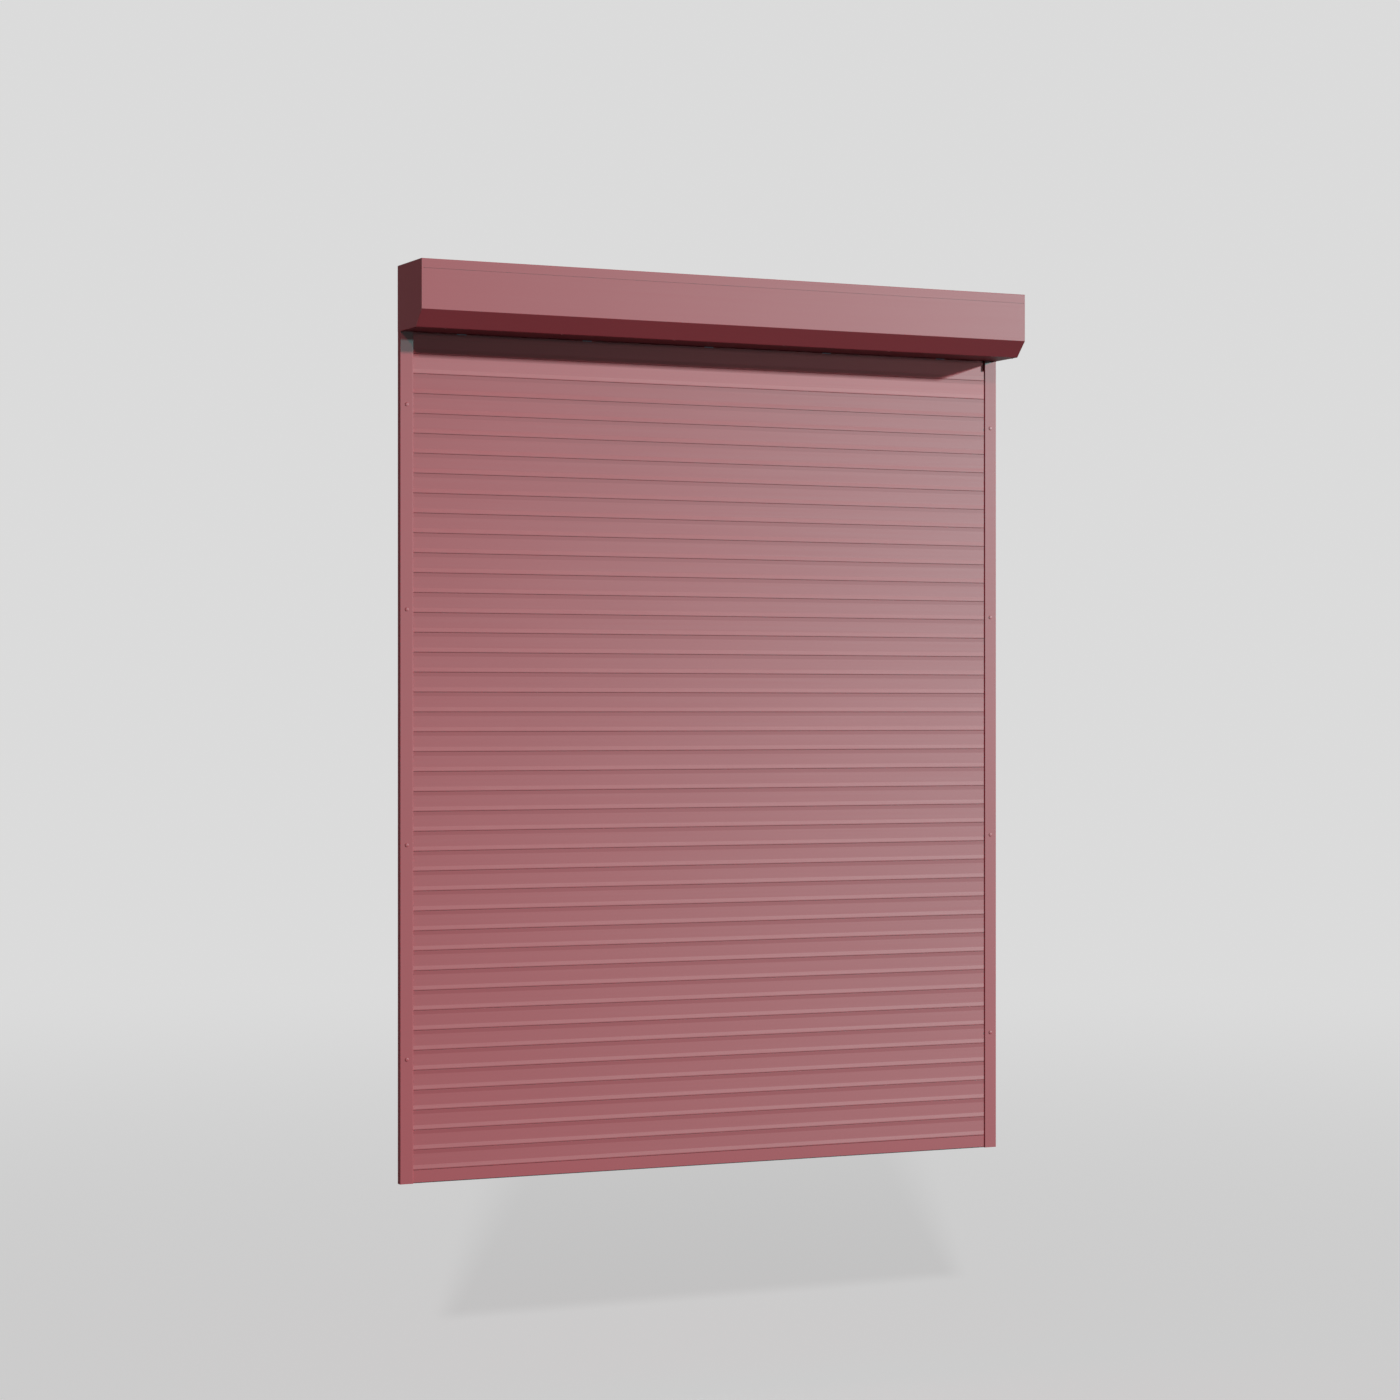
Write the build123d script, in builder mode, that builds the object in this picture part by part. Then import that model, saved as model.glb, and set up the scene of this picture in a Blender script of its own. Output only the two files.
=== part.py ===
from build123d import *
from math import acos, atan2, cos, degrees, hypot, pi
import os

# An exterior roller shutter, closed.
# X runs along the slats with 0 at mid width, +Y points into the wall, +Z is up.
# Y is 0 half way through the box's depth, and Z is 0 at the feet of the guide rails.

# Driving dimensions, in millimetres
overall_width = 2654.0
box_depth = 262.0
box_height = 254.0
slope_leg = 62.0
slat_pitch = 77.0
slat_count = 42
slats_per_set = 2
bar_height = 50.5
rail_width = 55.0

# Clearances
fit_gap = 0.2
side_gap = 0.3
running_gap = 0.05
overrun = 1.0
edge_round = 1.0
blind_floor = 1.0

# Box sheets and end caps
panel_wall = 1.5
cover_wall = 1.2
bend_radius = 2.0
hem_height = 36.0
seam_gap = 1.0
backing_depth = 15.0
backing_lap = 12.0
backing_wall = 1.5
return_depth = 13.0
strip_setback = 3.0
mouth_lip = 12.0
mouth_gap = 6.5
back_flange = 25.0
cap_plate = 5.0
cap_corner = 2.0
rim_width = 10.0
rim_wall = 2.0
rim_rise = 25.0
spigot_length = 40.0
spigot_root = 20.0
spigot_inset = 2.5

# Screws
screw_radius = 2.0
screw_head_radius = 4.0
screw_head_height = 2.4
screw_length = 8.0
screw_count = 6
screw_end_distance = 120.0
recess_radius = 1.8
recess_depth = 1.2
slot_clearance = 0.4
nut_side = 9.0
nut_height = 3.0

# Guide rails
rail_wall = 1.6
rail_corner = 1.8
lip_corner = 3.2
lip_depth = 7.0
seal_width = 6.0
rear_seal = 2.6
foot_height = 20.0
foot_wall = 2.5
fixing_radius = 3.5
access_radius = 6.5
plug_radius = 7.5
plug_rise = 1.8
plug_stem = 4.0
fixing_height_shares = (0.146, 0.3975, 0.674, 0.9145)

# Slat section
face_recess = 12.0
ridge_proud = 3.5
slat_wall = 1.1
flare_height = 19.0
ridge_height = 5.5
brow_proud = 2.4
brow_height = 15.0
nose_radius = 2.8
nose_room = 2.1
joint_gap = 0.4
shoulder_radius = 0.8
hook_set = 3.6
hook_wall = 1.3
hook_height = 9.0
hook_play = 0.35
hook_lift = 0.5
hook_clear = 2.5
hook_room = 1.5
hook_back_room = 1.4
engagement = 28.0

# Slat end locks
lock_plate = 8.0
lock_inset = 0.6
lock_foot = 14.0
lock_top = 6.0
tongue_length = 20.0
tongue_gap = 0.3

# Bottom bar and its seal
bar_wall = 2.0
bar_floor = 3.0
groove_width = 9.0
groove_height = 4.0
groove_neck = 4.0
seal_foot_width = 10.0
seal_gap = 0.2
bar_cap_plate = 3.0

# Roller and tube motor
tube_sides = 8
hex_sides = 6
tube_across_flats = 70.0
tube_wall = 1.5
tube_end_room = 32.0
plug_flange = 4.0
crown_length = 30.0
wheel_length = 25.0
idler_length = 80.0
flange_rise = 2.0
motor_radius = 22.5
motor_length = 600.0
shaft_radius = 6.0
shaft_engagement = 20.0
shaft_hex = 14.0
head_radius = 30.0
head_spigot_radius = 10.0
bracket_side = 90.0
bracket_wall = 5.0
bracket_corner = 10.0
bracket_screw_spacing = 70.0
pin_radius = 6.0
pin_reach = 60.0
bush_radius = 14.0
bush_length = 10.0
hub_radius = 20.0
adjuster_radius = 3.0
adjuster_length = 11.0
adjuster_room = 0.7
adjuster_spacing = 18.0
adjuster_socket = 3.0
adjuster_socket_depth = 3.0
inlet_width = 14.0
inlet_height = 8.0
inlet_depth = 6.0

# Hanger straps
strap_count = 5
strap_end_distance = 260.0
strap_width = 40.0
strap_wall = 1.2
strap_wrap = 118.0
strap_gap = 0.5
clip_wall = 1.5
clip_leg = 4.5
clip_gap = 0.3

# Guide rollers and funnels at the mouth
guide_roller_radius = 12.0
guide_roller_width = 28.0
guide_roller_clear = 4.0
guide_pin_radius = 4.0
guide_collar_radius = 6.0
guide_cap = 1.0
funnel_depth = 40.0
funnel_rise = 18.0
funnel_leg = 10.0
funnel_web = 2.5
funnel_tip = 2.0

# Cable grommet in the right end cap
grommet_hole = 9.0
grommet_flange = 12.0
grommet_wall = 1.5
grommet_set = 45.0
grommet_membrane = 1.0

# Places that follow from the sizes above
half_width = overall_width / 2
box_bottom = bar_height + slat_count * slat_pitch + mouth_gap
box_top = box_bottom + box_height
box_front = -box_depth / 2
wall_plane = box_depth / 2
stem_back = hook_set + hook_wall
tip_front = stem_back + hook_play
tip_back = tip_front + slat_wall
drop_front = tip_back + hook_play
drop_back = drop_front + hook_wall
rear_inner = drop_back + hook_back_room
slat_body = rear_inner + slat_wall
slat_thickness = slat_body + ridge_proud
rail_depth = face_recess + slat_body + side_gap + rear_seal + rail_wall
rail_front = wall_plane - rail_depth
cap_inner = half_width - cap_plate
panel_length = 2 * (cap_inner - fit_gap)
backing_length = 2 * (cap_inner - rim_width - fit_gap)
hem_bottom = box_top - hem_height
cover_top = hem_bottom - seam_gap
face_plane = rail_front + face_recess
ridge_plane = face_plane - ridge_proud
slat_back = ridge_plane + slat_thickness
rail_opening = half_width - rail_width
slat_end = rail_opening + engagement
slat_length = 2 * slat_end
lock_end = slat_end + lock_plate
web_inner = lock_end + hook_play
web_outer = web_inner + funnel_web
chamber_outer = half_width - rail_wall - fit_gap
roller_height = box_bottom + box_height / 2
fixing_x = half_width - rail_width / 2
fixing_heights = [share * box_bottom for share in fixing_height_shares]
tube_apothem = tube_across_flats / 2
tube_inner_apothem = tube_apothem - tube_wall
insert_apothem = tube_inner_apothem - fit_gap
tube_end = cap_inner - tube_end_room
head_inner = tube_end + plug_flange + side_gap
bracket_inner = cap_inner - bracket_wall

os.makedirs("parts", exist_ok=True)


def facing(y):
    """A plane at depth y whose normal points to the front, with X along it and Z up."""
    return Plane.XZ.offset(-y)


def level(z):
    """A horizontal plane at height z."""
    return Plane.XY.offset(z)


def across(x):
    """An upright plane at x, with Y along it and Z up, whose normal is +X."""
    return Plane.YZ.offset(x)


def save(piece, name):
    """Label a finished piece and write it under its name."""
    piece.part.label = name
    export_step(piece.part, f"parts/{name}.step")


def spread(count, end_distance):
    """Places along X, evenly spaced between two equal distances from the ends."""
    reach = half_width - end_distance
    return [reach * (2 * i / (count - 1) - 1) for i in range(count)]


# Screws: one pan head screw that stands head up, and where its copies go

with BuildPart() as pan_screw:
    Cylinder(screw_radius - running_gap, screw_length, align=(Align.CENTER, Align.CENTER, Align.MAX))
    with Locations((0, 0, fit_gap)):
        Cylinder(screw_head_radius, screw_head_height, align=(Align.CENTER, Align.CENTER, Align.MIN))
    Cylinder(screw_radius - running_gap, fit_gap, align=(Align.CENTER, Align.CENTER, Align.MIN))
    fillet(pan_screw.edges().filter_by(GeomType.CIRCLE).sort_by(Axis.Z)[-1], screw_head_height / 2)
    with BuildSketch(level(fit_gap + screw_head_height)):
        Rectangle(2 * recess_radius, recess_radius / 2)
        Rectangle(recess_radius / 2, 2 * recess_radius)
    extrude(amount=-recess_depth, mode=Mode.SUBTRACT)

rim_middle = cap_inner - rim_width / 2
back_screw_y = wall_plane - back_flange / 2
top_screws = [
    (side * rim_middle, y)
    for side in (-1, 1)
    for y in (box_front + box_depth / 4, 0, wall_plane - box_depth / 4)
]
top_screws += [(x, back_screw_y) for x in spread(screw_count, screw_end_distance)]
floor_screws = [
    (side * rim_middle, y)
    for side in (-1, 1)
    for y in (box_front + slope_leg + return_depth + backing_lap, rail_front - mouth_lip)
]
cover_screw_y = box_front + slope_leg + return_depth / 2
cover_screws = [(x, cover_screw_y) for x in spread(screw_count, screw_end_distance)]

# Box: end caps

spigot_inner = web_outer + side_gap

with BuildPart() as end_cap_left:
    with BuildSketch(across(-half_width)):
        with BuildLine():
            Polyline(
                (box_front, box_top),
                (wall_plane, box_top),
                (wall_plane, box_bottom),
                (box_front + slope_leg, box_bottom),
                (box_front, box_bottom + slope_leg),
                close=True,
            )
        cap_face = make_face()
        fillet(cap_face.vertices().group_by(Axis.X)[0], cap_corner)
    extrude(amount=cap_plate)
    with BuildSketch(across(-cap_inner)):
        add(cap_face)
        offset(amount=-(panel_wall + fit_gap), kind=Kind.INTERSECTION, mode=Mode.REPLACE)
        offset(amount=-rim_wall, kind=Kind.INTERSECTION, mode=Mode.SUBTRACT)
        with Locations((wall_plane, box_bottom)):
            Rectangle(
                rail_depth + mouth_lip,
                rim_rise,
                align=(Align.MAX, Align.MIN),
                mode=Mode.SUBTRACT,
            )
    extrude(amount=rim_width)
    # The spigot that goes down into the rail's outer chamber
    with BuildSketch(level(box_bottom - spigot_length)):
        with Locations((-chamber_outer, rail_front + spigot_inset)):
            Rectangle(
                chamber_outer - spigot_inner,
                rail_depth - 2 * spigot_inset,
                align=(Align.MIN, Align.MIN),
            )
    extrude(amount=spigot_length + spigot_root)
    # The cast pin that carries the guide roller
    guide_y = ridge_plane - side_gap - guide_roller_radius
    guide_z = box_bottom + funnel_rise + guide_roller_clear + guide_roller_radius
    guide_outer = rail_opening + guide_roller_width
    with BuildSketch(across(-cap_inner)):
        with Locations((guide_y, guide_z)):
            Circle(guide_collar_radius)
    extrude(amount=cap_inner - guide_outer - side_gap)
    with BuildSketch(across(-guide_outer)):
        with Locations((guide_y, guide_z)):
            Circle(guide_pin_radius)
    extrude(amount=guide_roller_width - guide_cap - side_gap)
    with BuildSketch(across(-guide_outer)):
        with Locations((guide_y, guide_z)):
            Circle(guide_pin_radius)
    extrude(amount=-side_gap)
    # Screw holes in the rim and for the bearing bracket
    with Locations(*[(x, y, box_top) for x, y in top_screws if x < -rail_opening]):
        Hole(screw_radius, depth=screw_length + overrun)
    with BuildSketch(level(box_bottom)):
        with Locations(*[(x, y) for x, y in floor_screws if x < 0]):
            Circle(screw_radius)
    extrude(amount=screw_length + overrun, mode=Mode.SUBTRACT)
    with BuildSketch(across(-cap_inner)):
        with Locations((0, roller_height)):
            with GridLocations(bracket_screw_spacing, bracket_screw_spacing, 2, 2):
                Circle(screw_radius)
    extrude(amount=-(cap_plate - blind_floor), mode=Mode.SUBTRACT)
save(end_cap_left, "end_cap_left")

grommet_y = wall_plane - grommet_set
grommet_z = box_top - grommet_set

with BuildPart() as end_cap_right:
    mirror(end_cap_left.part, about=Plane.YZ)
    with BuildSketch(across(half_width)):
        with Locations((grommet_y, grommet_z)):
            Circle(grommet_hole)
    extrude(amount=-cap_plate, mode=Mode.SUBTRACT)
save(end_cap_right, "end_cap_right")

with BuildPart() as cable_grommet:
    with BuildSketch(across(half_width - cap_plate - fit_gap)):
        with Locations((grommet_y, grommet_z)):
            Circle(grommet_flange)
    extrude(amount=-grommet_wall)
    with BuildSketch(across(half_width - cap_plate - fit_gap)):
        with Locations((grommet_y, grommet_z)):
            Circle(grommet_hole - fit_gap)
    extrude(amount=cap_plate)
    with BuildSketch(across(half_width - fit_gap)):
        with Locations((grommet_y, grommet_z)):
            Circle(grommet_hole - fit_gap - grommet_wall)
    extrude(amount=-(cap_plate - grommet_membrane), mode=Mode.SUBTRACT)
save(cable_grommet, "cable_grommet")

# Box: sheets, each a bent line with its thickness on the inner side

with BuildPart() as top_panel:
    with BuildSketch(across(-panel_length / 2)):
        with BuildLine():
            FilletPolyline(
                (box_front, hem_bottom),
                (box_front, box_top),
                (wall_plane, box_top),
                radius=bend_radius,
            )
            offset(amount=panel_wall, side=Side.RIGHT)
        make_face()
    extrude(amount=panel_length)
    # The strip behind the hem that the cover's upper edge rests on
    with BuildSketch(across(-backing_length / 2)):
        with Locations((box_front + panel_wall, hem_bottom - backing_depth)):
            Rectangle(backing_wall, backing_depth + backing_lap, align=(Align.MIN, Align.MIN))
    extrude(amount=backing_length)
    with Locations(*[(x, y, box_top) for x, y in top_screws]):
        Hole(screw_radius, depth=panel_wall + overrun)
save(top_panel, "top_panel")

with BuildPart() as back_panel:
    with BuildSketch(across(-panel_length / 2)):
        with Locations((wall_plane, box_bottom)):
            Rectangle(panel_wall, box_height - panel_wall - fit_gap, align=(Align.MAX, Align.MIN))
    extrude(amount=panel_length)
    with BuildSketch(across(-backing_length / 2)):
        with Locations((wall_plane, box_top - panel_wall - fit_gap)):
            Rectangle(back_flange, panel_wall, align=(Align.MAX, Align.MAX))
    extrude(amount=backing_length)
    with Locations(*[(x, y, box_top) for x, y in top_screws if y == back_screw_y]):
        Hole(screw_radius, depth=2 * panel_wall + fit_gap + overrun)
save(back_panel, "back_panel")

return_edge = box_front + slope_leg + return_depth

with BuildPart() as bottom_panel:
    with BuildSketch(across(-panel_length / 2)):
        with BuildLine():
            FilletPolyline(
                (return_edge + fit_gap, box_bottom),
                (rail_front, box_bottom),
                (rail_front, box_bottom + mouth_lip),
                radius=bend_radius,
            )
            offset(amount=panel_wall, side=Side.LEFT)
        make_face()
    extrude(amount=panel_length)
    # The slotted strip that the cover's screws clamp on
    with BuildSketch(across(-backing_length / 2)):
        with Locations((return_edge + backing_lap, box_bottom + panel_wall)):
            Rectangle(
                return_depth + backing_lap - strip_setback,
                backing_wall,
                align=(Align.MAX, Align.MIN),
            )
    extrude(amount=backing_length)
    slot_reach = cover_screw_y - (return_edge - return_depth) + overrun
    with BuildSketch(level(box_bottom + panel_wall)):
        with Locations(*[(x, cover_screw_y) for x, _ in cover_screws]):
            Circle(screw_radius + slot_clearance)
            Rectangle(
                2 * (screw_radius + slot_clearance),
                slot_reach,
                align=(Align.CENTER, Align.MAX),
            )
    extrude(amount=backing_wall, mode=Mode.SUBTRACT)
    with BuildSketch(level(box_bottom)):
        with Locations(*floor_screws):
            Circle(screw_radius)
    extrude(amount=panel_wall, mode=Mode.SUBTRACT)
save(bottom_panel, "bottom_panel")

with BuildPart() as inspection_cover:
    with BuildSketch(across(-panel_length / 2)):
        with BuildLine():
            FilletPolyline(
                (return_edge, box_bottom),
                (box_front + slope_leg, box_bottom),
                (box_front, box_bottom + slope_leg),
                (box_front, cover_top),
                radius=bend_radius,
            )
            offset(amount=cover_wall, side=Side.RIGHT)
        make_face()
    extrude(amount=panel_length)
    with BuildSketch(level(box_bottom)):
        with Locations(*cover_screws):
            Circle(screw_radius)
    extrude(amount=cover_wall, mode=Mode.SUBTRACT)
save(inspection_cover, "inspection_cover")

with BuildPart() as box_screws:
    with Locations(*[Location((x, y, box_top)) for x, y in top_screws]):
        add(pan_screw.part)
    with Locations(*[Location((x, y, box_bottom), (180, 0, 0)) for x, y in floor_screws]):
        add(pan_screw.part)
save(box_screws, "box_screws")

with BuildPart() as cover_screws_set:
    with Locations(*[Location((x, y, box_bottom), (180, 0, 0)) for x, y in cover_screws]):
        add(pan_screw.part)
save(cover_screws_set, "cover_screws")

nut_bottom = box_bottom + panel_wall + backing_wall + side_gap

with BuildPart() as cover_nuts:
    with BuildSketch(level(nut_bottom)):
        with Locations(*cover_screws):
            Rectangle(nut_side, nut_side)
            Circle(screw_radius, mode=Mode.SUBTRACT)
    extrude(amount=nut_height)
save(cover_nuts, "cover_nuts")

# Guide rails, drawn for the left and mirrored for the right

with BuildPart() as guide_rail_left:
    with BuildSketch(level(0)):
        with BuildLine():
            FilletPolyline(
                (-rail_opening, rail_front + lip_depth),
                (-rail_opening, rail_front),
                (-half_width, rail_front),
                (-half_width, wall_plane),
                (-rail_opening, wall_plane),
                radius=(lip_corner, rail_corner, rail_corner),
            )
            offset(amount=rail_wall, side=Side.RIGHT)
        make_face()
    extrude(amount=box_bottom)
    with BuildSketch(facing(rail_front)):
        with Locations(*[(-fixing_x, z) for z in fixing_heights]):
            Circle(access_radius)
    extrude(amount=-(rail_wall + overrun), mode=Mode.SUBTRACT)
    with BuildSketch(facing(wall_plane)):
        with Locations(*[(-fixing_x, z) for z in fixing_heights]):
            Circle(fixing_radius)
    extrude(amount=rail_wall + overrun, mode=Mode.SUBTRACT)

seal_outer = rail_opening + lip_corner + fit_gap + seal_width

with BuildPart() as rail_seals_left:
    with BuildSketch(level(0)):
        with Locations((-seal_outer, rail_front + rail_wall)):
            Rectangle(
                seal_width,
                ridge_plane - side_gap - rail_front - rail_wall,
                align=(Align.MIN, Align.MIN),
            )
        with Locations((-seal_outer, slat_back + side_gap)):
            Rectangle(
                seal_width,
                wall_plane - rail_wall - slat_back - side_gap,
                align=(Align.MIN, Align.MIN),
            )
    extrude(amount=box_bottom - funnel_depth - fit_gap)

funnel_front = rail_front + rail_wall + fit_gap
funnel_back = wall_plane - rail_wall - fit_gap
funnel_inner = rail_opening + lip_corner + fit_gap

with BuildPart() as guide_funnel_left:
    with BuildSketch(level(box_bottom - funnel_depth)):
        with Locations((-web_outer, funnel_front)):
            Rectangle(
                web_outer - funnel_inner,
                funnel_back - funnel_front,
                align=(Align.MIN, Align.MIN),
            )
        with Locations((-web_inner, ridge_plane - side_gap)):
            Rectangle(
                web_inner - funnel_inner,
                slat_thickness + 2 * side_gap,
                align=(Align.MIN, Align.MIN),
                mode=Mode.SUBTRACT,
            )
        with Locations((-funnel_inner - funnel_leg, funnel_front)):
            Rectangle(
                web_inner - funnel_inner - funnel_leg,
                ridge_plane - side_gap - funnel_front - funnel_tip,
                align=(Align.MAX, Align.MIN),
                mode=Mode.SUBTRACT,
            )
    extrude(amount=funnel_depth + funnel_rise)
    # The lead-in slope on the front leg
    with BuildSketch(across(-web_inner)):
        with BuildLine():
            Polyline(
                (ridge_plane - side_gap, box_bottom),
                (ridge_plane - side_gap, box_bottom + funnel_rise),
                (funnel_front + funnel_tip, box_bottom + funnel_rise),
                close=True,
            )
        make_face()
    extrude(amount=web_inner - funnel_inner, mode=Mode.SUBTRACT)

with BuildPart() as guide_roller_left:
    with BuildSketch(across(-guide_outer)):
        with Locations((guide_y, guide_z)):
            Circle(guide_roller_radius)
            Circle(guide_pin_radius + running_gap, mode=Mode.SUBTRACT)
    extrude(amount=guide_roller_width)
    with BuildSketch(across(-guide_outer + guide_roller_width)):
        with Locations((guide_y, guide_z)):
            Circle(guide_pin_radius + running_gap)
    extrude(amount=-guide_cap)
    fillet(
        guide_roller_left.edges().filter_by(GeomType.CIRCLE).sort_by(SortBy.RADIUS)[-2:],
        edge_round,
    )

for piece, name in (
    (guide_rail_left, "guide_rail"),
    (rail_seals_left, "rail_seals"),
    (guide_funnel_left, "guide_funnel"),
    (guide_roller_left, "guide_roller"),
):
    save(piece, f"{name}_left")
    with BuildPart() as twin:
        mirror(piece.part, about=Plane.YZ)
    save(twin, f"{name}_right")

with BuildPart() as rail_foot_plugs:
    with BuildSketch(level(0)):
        with Locations((-chamber_outer, rail_front + spigot_inset)):
            Rectangle(
                chamber_outer - spigot_inner,
                rail_depth - 2 * spigot_inset,
                align=(Align.MIN, Align.MIN),
            )
    extrude(amount=foot_height)
    offset(amount=-foot_wall, openings=rail_foot_plugs.faces().sort_by(Axis.Z)[-1])
    mirror(about=Plane.YZ)
save(rail_foot_plugs, "rail_foot_plugs")

with BuildPart() as hole_plugs:
    with BuildSketch(facing(rail_front)):
        with Locations(*[(side * fixing_x, z) for side in (-1, 1) for z in fixing_heights]):
            Circle(plug_radius)
    extrude(amount=plug_rise)
    fillet(hole_plugs.faces().filter_by(Axis.Y).group_by(Axis.Y)[0].edges(), plug_rise - running_gap)
    with BuildSketch(facing(rail_front)):
        with Locations(*[(side * fixing_x, z) for side in (-1, 1) for z in fixing_heights]):
            Circle(access_radius - running_gap)
    extrude(amount=-plug_stem)
save(hole_plugs, "hole_plugs")

# Slats: a hollow section with a pocket below and a hook above, drawn with its joint line at height 0

pocket_top = hook_height + hook_room
lip_height = hook_height - hook_wall - hook_lift
drop_bottom = joint_gap + slat_wall + hook_clear
flare_share = ridge_proud / (flare_height - ridge_height)
brow_share = brow_proud / brow_height


def hook_points(shoulder):
    """The hook that stands on a shoulder, from its rear foot round to its front foot."""
    return [
        (stem_back, shoulder),
        (stem_back, shoulder + hook_height - hook_wall),
        (drop_front, shoulder + hook_height - hook_wall),
        (drop_front, shoulder + drop_bottom),
        (drop_back, shoulder + drop_bottom),
        (drop_back, shoulder + hook_height),
        (hook_set, shoulder + hook_height),
        (hook_set, shoulder),
    ]


def skin(height, inset=0.0):
    """How far the face stands out at a height in the flare, on a surface inset from the outside."""
    return inset - flare_share * (flare_height - height)


with BuildPart() as slat:
    with BuildSketch(Plane.YZ.offset(-slat_end)) as slat_section:
        with BuildLine():
            Polyline(
                (-brow_proud, slat_pitch),
                (0, slat_pitch - brow_height),
                (0, flare_height),
                (-ridge_proud, ridge_height),
                (-ridge_proud, joint_gap),
                (hook_set - nose_room, joint_gap),
                (hook_set - nose_room, joint_gap + slat_wall),
                (slat_wall - ridge_proud, joint_gap + slat_wall),
                (slat_wall - ridge_proud, ridge_height),
                (skin(pocket_top, slat_wall), pocket_top),
                (rear_inner, pocket_top),
                (rear_inner, joint_gap + slat_wall),
                (tip_back, joint_gap + slat_wall),
                (tip_back, lip_height),
                (tip_front, lip_height),
                (tip_front, joint_gap),
                (slat_body, joint_gap),
                (slat_body, slat_pitch),
                *hook_points(slat_pitch),
                close=True,
            )
        make_face()
        with BuildLine():
            Polyline(
                (skin(pocket_top + slat_wall, slat_wall), pocket_top + slat_wall),
                (slat_wall, flare_height),
                (slat_wall, slat_pitch - brow_height),
                (slat_wall - brow_share * (brow_height - slat_wall), slat_pitch - slat_wall),
                (rear_inner, slat_pitch - slat_wall),
                (rear_inner, pocket_top + slat_wall),
                close=True,
            )
        make_face(mode=Mode.SUBTRACT)
        front_corners = slat_section.vertices().group_by(Axis.X)[0]
        fillet(front_corners.sort_by(Axis.Y)[0], nose_radius)
        nose_inner = [
            corner
            for corner in slat_section.vertices()
            if abs(corner.X - (slat_wall - ridge_proud)) < running_gap
        ]
        fillet(ShapeList(nose_inner).sort_by(Axis.Y)[0], nose_radius - slat_wall)
        brow_edge = slat_section.vertices().sort_by_distance((-brow_proud, slat_pitch, 0))
        fillet(brow_edge[0], shoulder_radius)
    extrude(amount=slat_length)

for first in range(0, slat_count, slats_per_set):
    members = range(first, min(first + slats_per_set, slat_count))
    with BuildPart() as slat_set:
        with Locations(*[(0, face_plane, bar_height + i * slat_pitch) for i in members]):
            add(slat.part)
    numbers = "_".join(f"{i + 1:02d}" for i in members)
    save(slat_set, f"slats_{numbers}")

with BuildPart() as slat_end_locks:
    lock_bases = [(face_plane, bar_height + i * slat_pitch) for i in range(0, slat_count, 2)]
    with BuildSketch(across(-slat_end)):
        with Locations(*[(y + lock_inset, z + lock_foot) for y, z in lock_bases]):
            Rectangle(
                slat_body - 2 * lock_inset,
                slat_pitch - lock_foot - lock_top,
                align=(Align.MIN, Align.MIN),
            )
    extrude(amount=-lock_plate)
    fillet(slat_end_locks.faces().group_by(Axis.X)[0].edges(), bend_radius)
    with BuildSketch(across(-slat_end)):
        with Locations(*[(y + slat_wall + tongue_gap, z + flare_height) for y, z in lock_bases]):
            Rectangle(
                slat_body - 2 * (slat_wall + tongue_gap),
                slat_pitch - slat_wall - tongue_gap - flare_height,
                align=(Align.MIN, Align.MIN),
            )
    extrude(amount=tongue_length)
    mirror(about=Plane.YZ)
save(slat_end_locks, "slat_end_locks")

# Bottom bar, its rubber seal and its end caps

bar_middle = slat_body - slat_thickness / 2
groove_bottom = bar_floor + bar_wall
groove_top = groove_bottom + groove_height
bar_cavity_floor = groove_top + bar_wall

with BuildPart() as bottom_bar:
    with BuildSketch(Plane(origin=(-slat_end, face_plane, 0), x_dir=(0, 1, 0), z_dir=(1, 0, 0))):
        with BuildLine():
            Polyline(
                (-ridge_proud, bar_height),
                (-ridge_proud, bar_floor),
                (bar_middle - groove_neck / 2, bar_floor),
                (bar_middle - groove_neck / 2, groove_bottom),
                (bar_middle - groove_width / 2, groove_bottom),
                (bar_middle - groove_width / 2, groove_top),
                (bar_middle + groove_width / 2, groove_top),
                (bar_middle + groove_width / 2, groove_bottom),
                (bar_middle + groove_neck / 2, groove_bottom),
                (bar_middle + groove_neck / 2, bar_floor),
                (slat_body, bar_floor),
                (slat_body, bar_height),
                *hook_points(bar_height),
                close=True,
            )
        make_face()
        with Locations((bar_wall - ridge_proud, bar_cavity_floor)):
            Rectangle(
                slat_thickness - 2 * bar_wall,
                bar_height - bar_wall - bar_cavity_floor,
                align=(Align.MIN, Align.MIN),
                mode=Mode.SUBTRACT,
            )
    extrude(amount=slat_length)
save(bottom_bar, "bottom_bar")

with BuildPart() as bottom_seal:
    with BuildSketch(Plane(origin=(-slat_end, face_plane + bar_middle, 0), x_dir=(0, 1, 0), z_dir=(1, 0, 0))):
        Rectangle(seal_foot_width, bar_floor - seal_gap, align=(Align.CENTER, Align.MIN))
        Rectangle(groove_neck - 2 * seal_gap, groove_top - seal_gap, align=(Align.CENTER, Align.MIN))
        with Locations((0, groove_bottom + seal_gap)):
            Rectangle(
                groove_width - 2 * seal_gap,
                groove_height - 2 * seal_gap,
                align=(Align.CENTER, Align.MIN),
            )
    extrude(amount=slat_length)
save(bottom_seal, "bottom_seal")

with BuildPart() as bar_end_caps:
    with BuildSketch(across(-slat_end)):
        with Locations((ridge_plane, bar_floor)):
            Rectangle(slat_thickness, bar_height - bar_floor, align=(Align.MIN, Align.MIN))
    extrude(amount=-bar_cap_plate)
    with BuildSketch(across(-slat_end)):
        with Locations((ridge_plane + bar_wall + tongue_gap, bar_cavity_floor + tongue_gap)):
            Rectangle(
                slat_thickness - 2 * (bar_wall + tongue_gap),
                bar_height - bar_wall - bar_cavity_floor - 2 * tongue_gap,
                align=(Align.MIN, Align.MIN),
            )
    extrude(amount=tongue_length)
    mirror(about=Plane.YZ)
save(bar_end_caps, "bar_end_caps")

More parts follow.
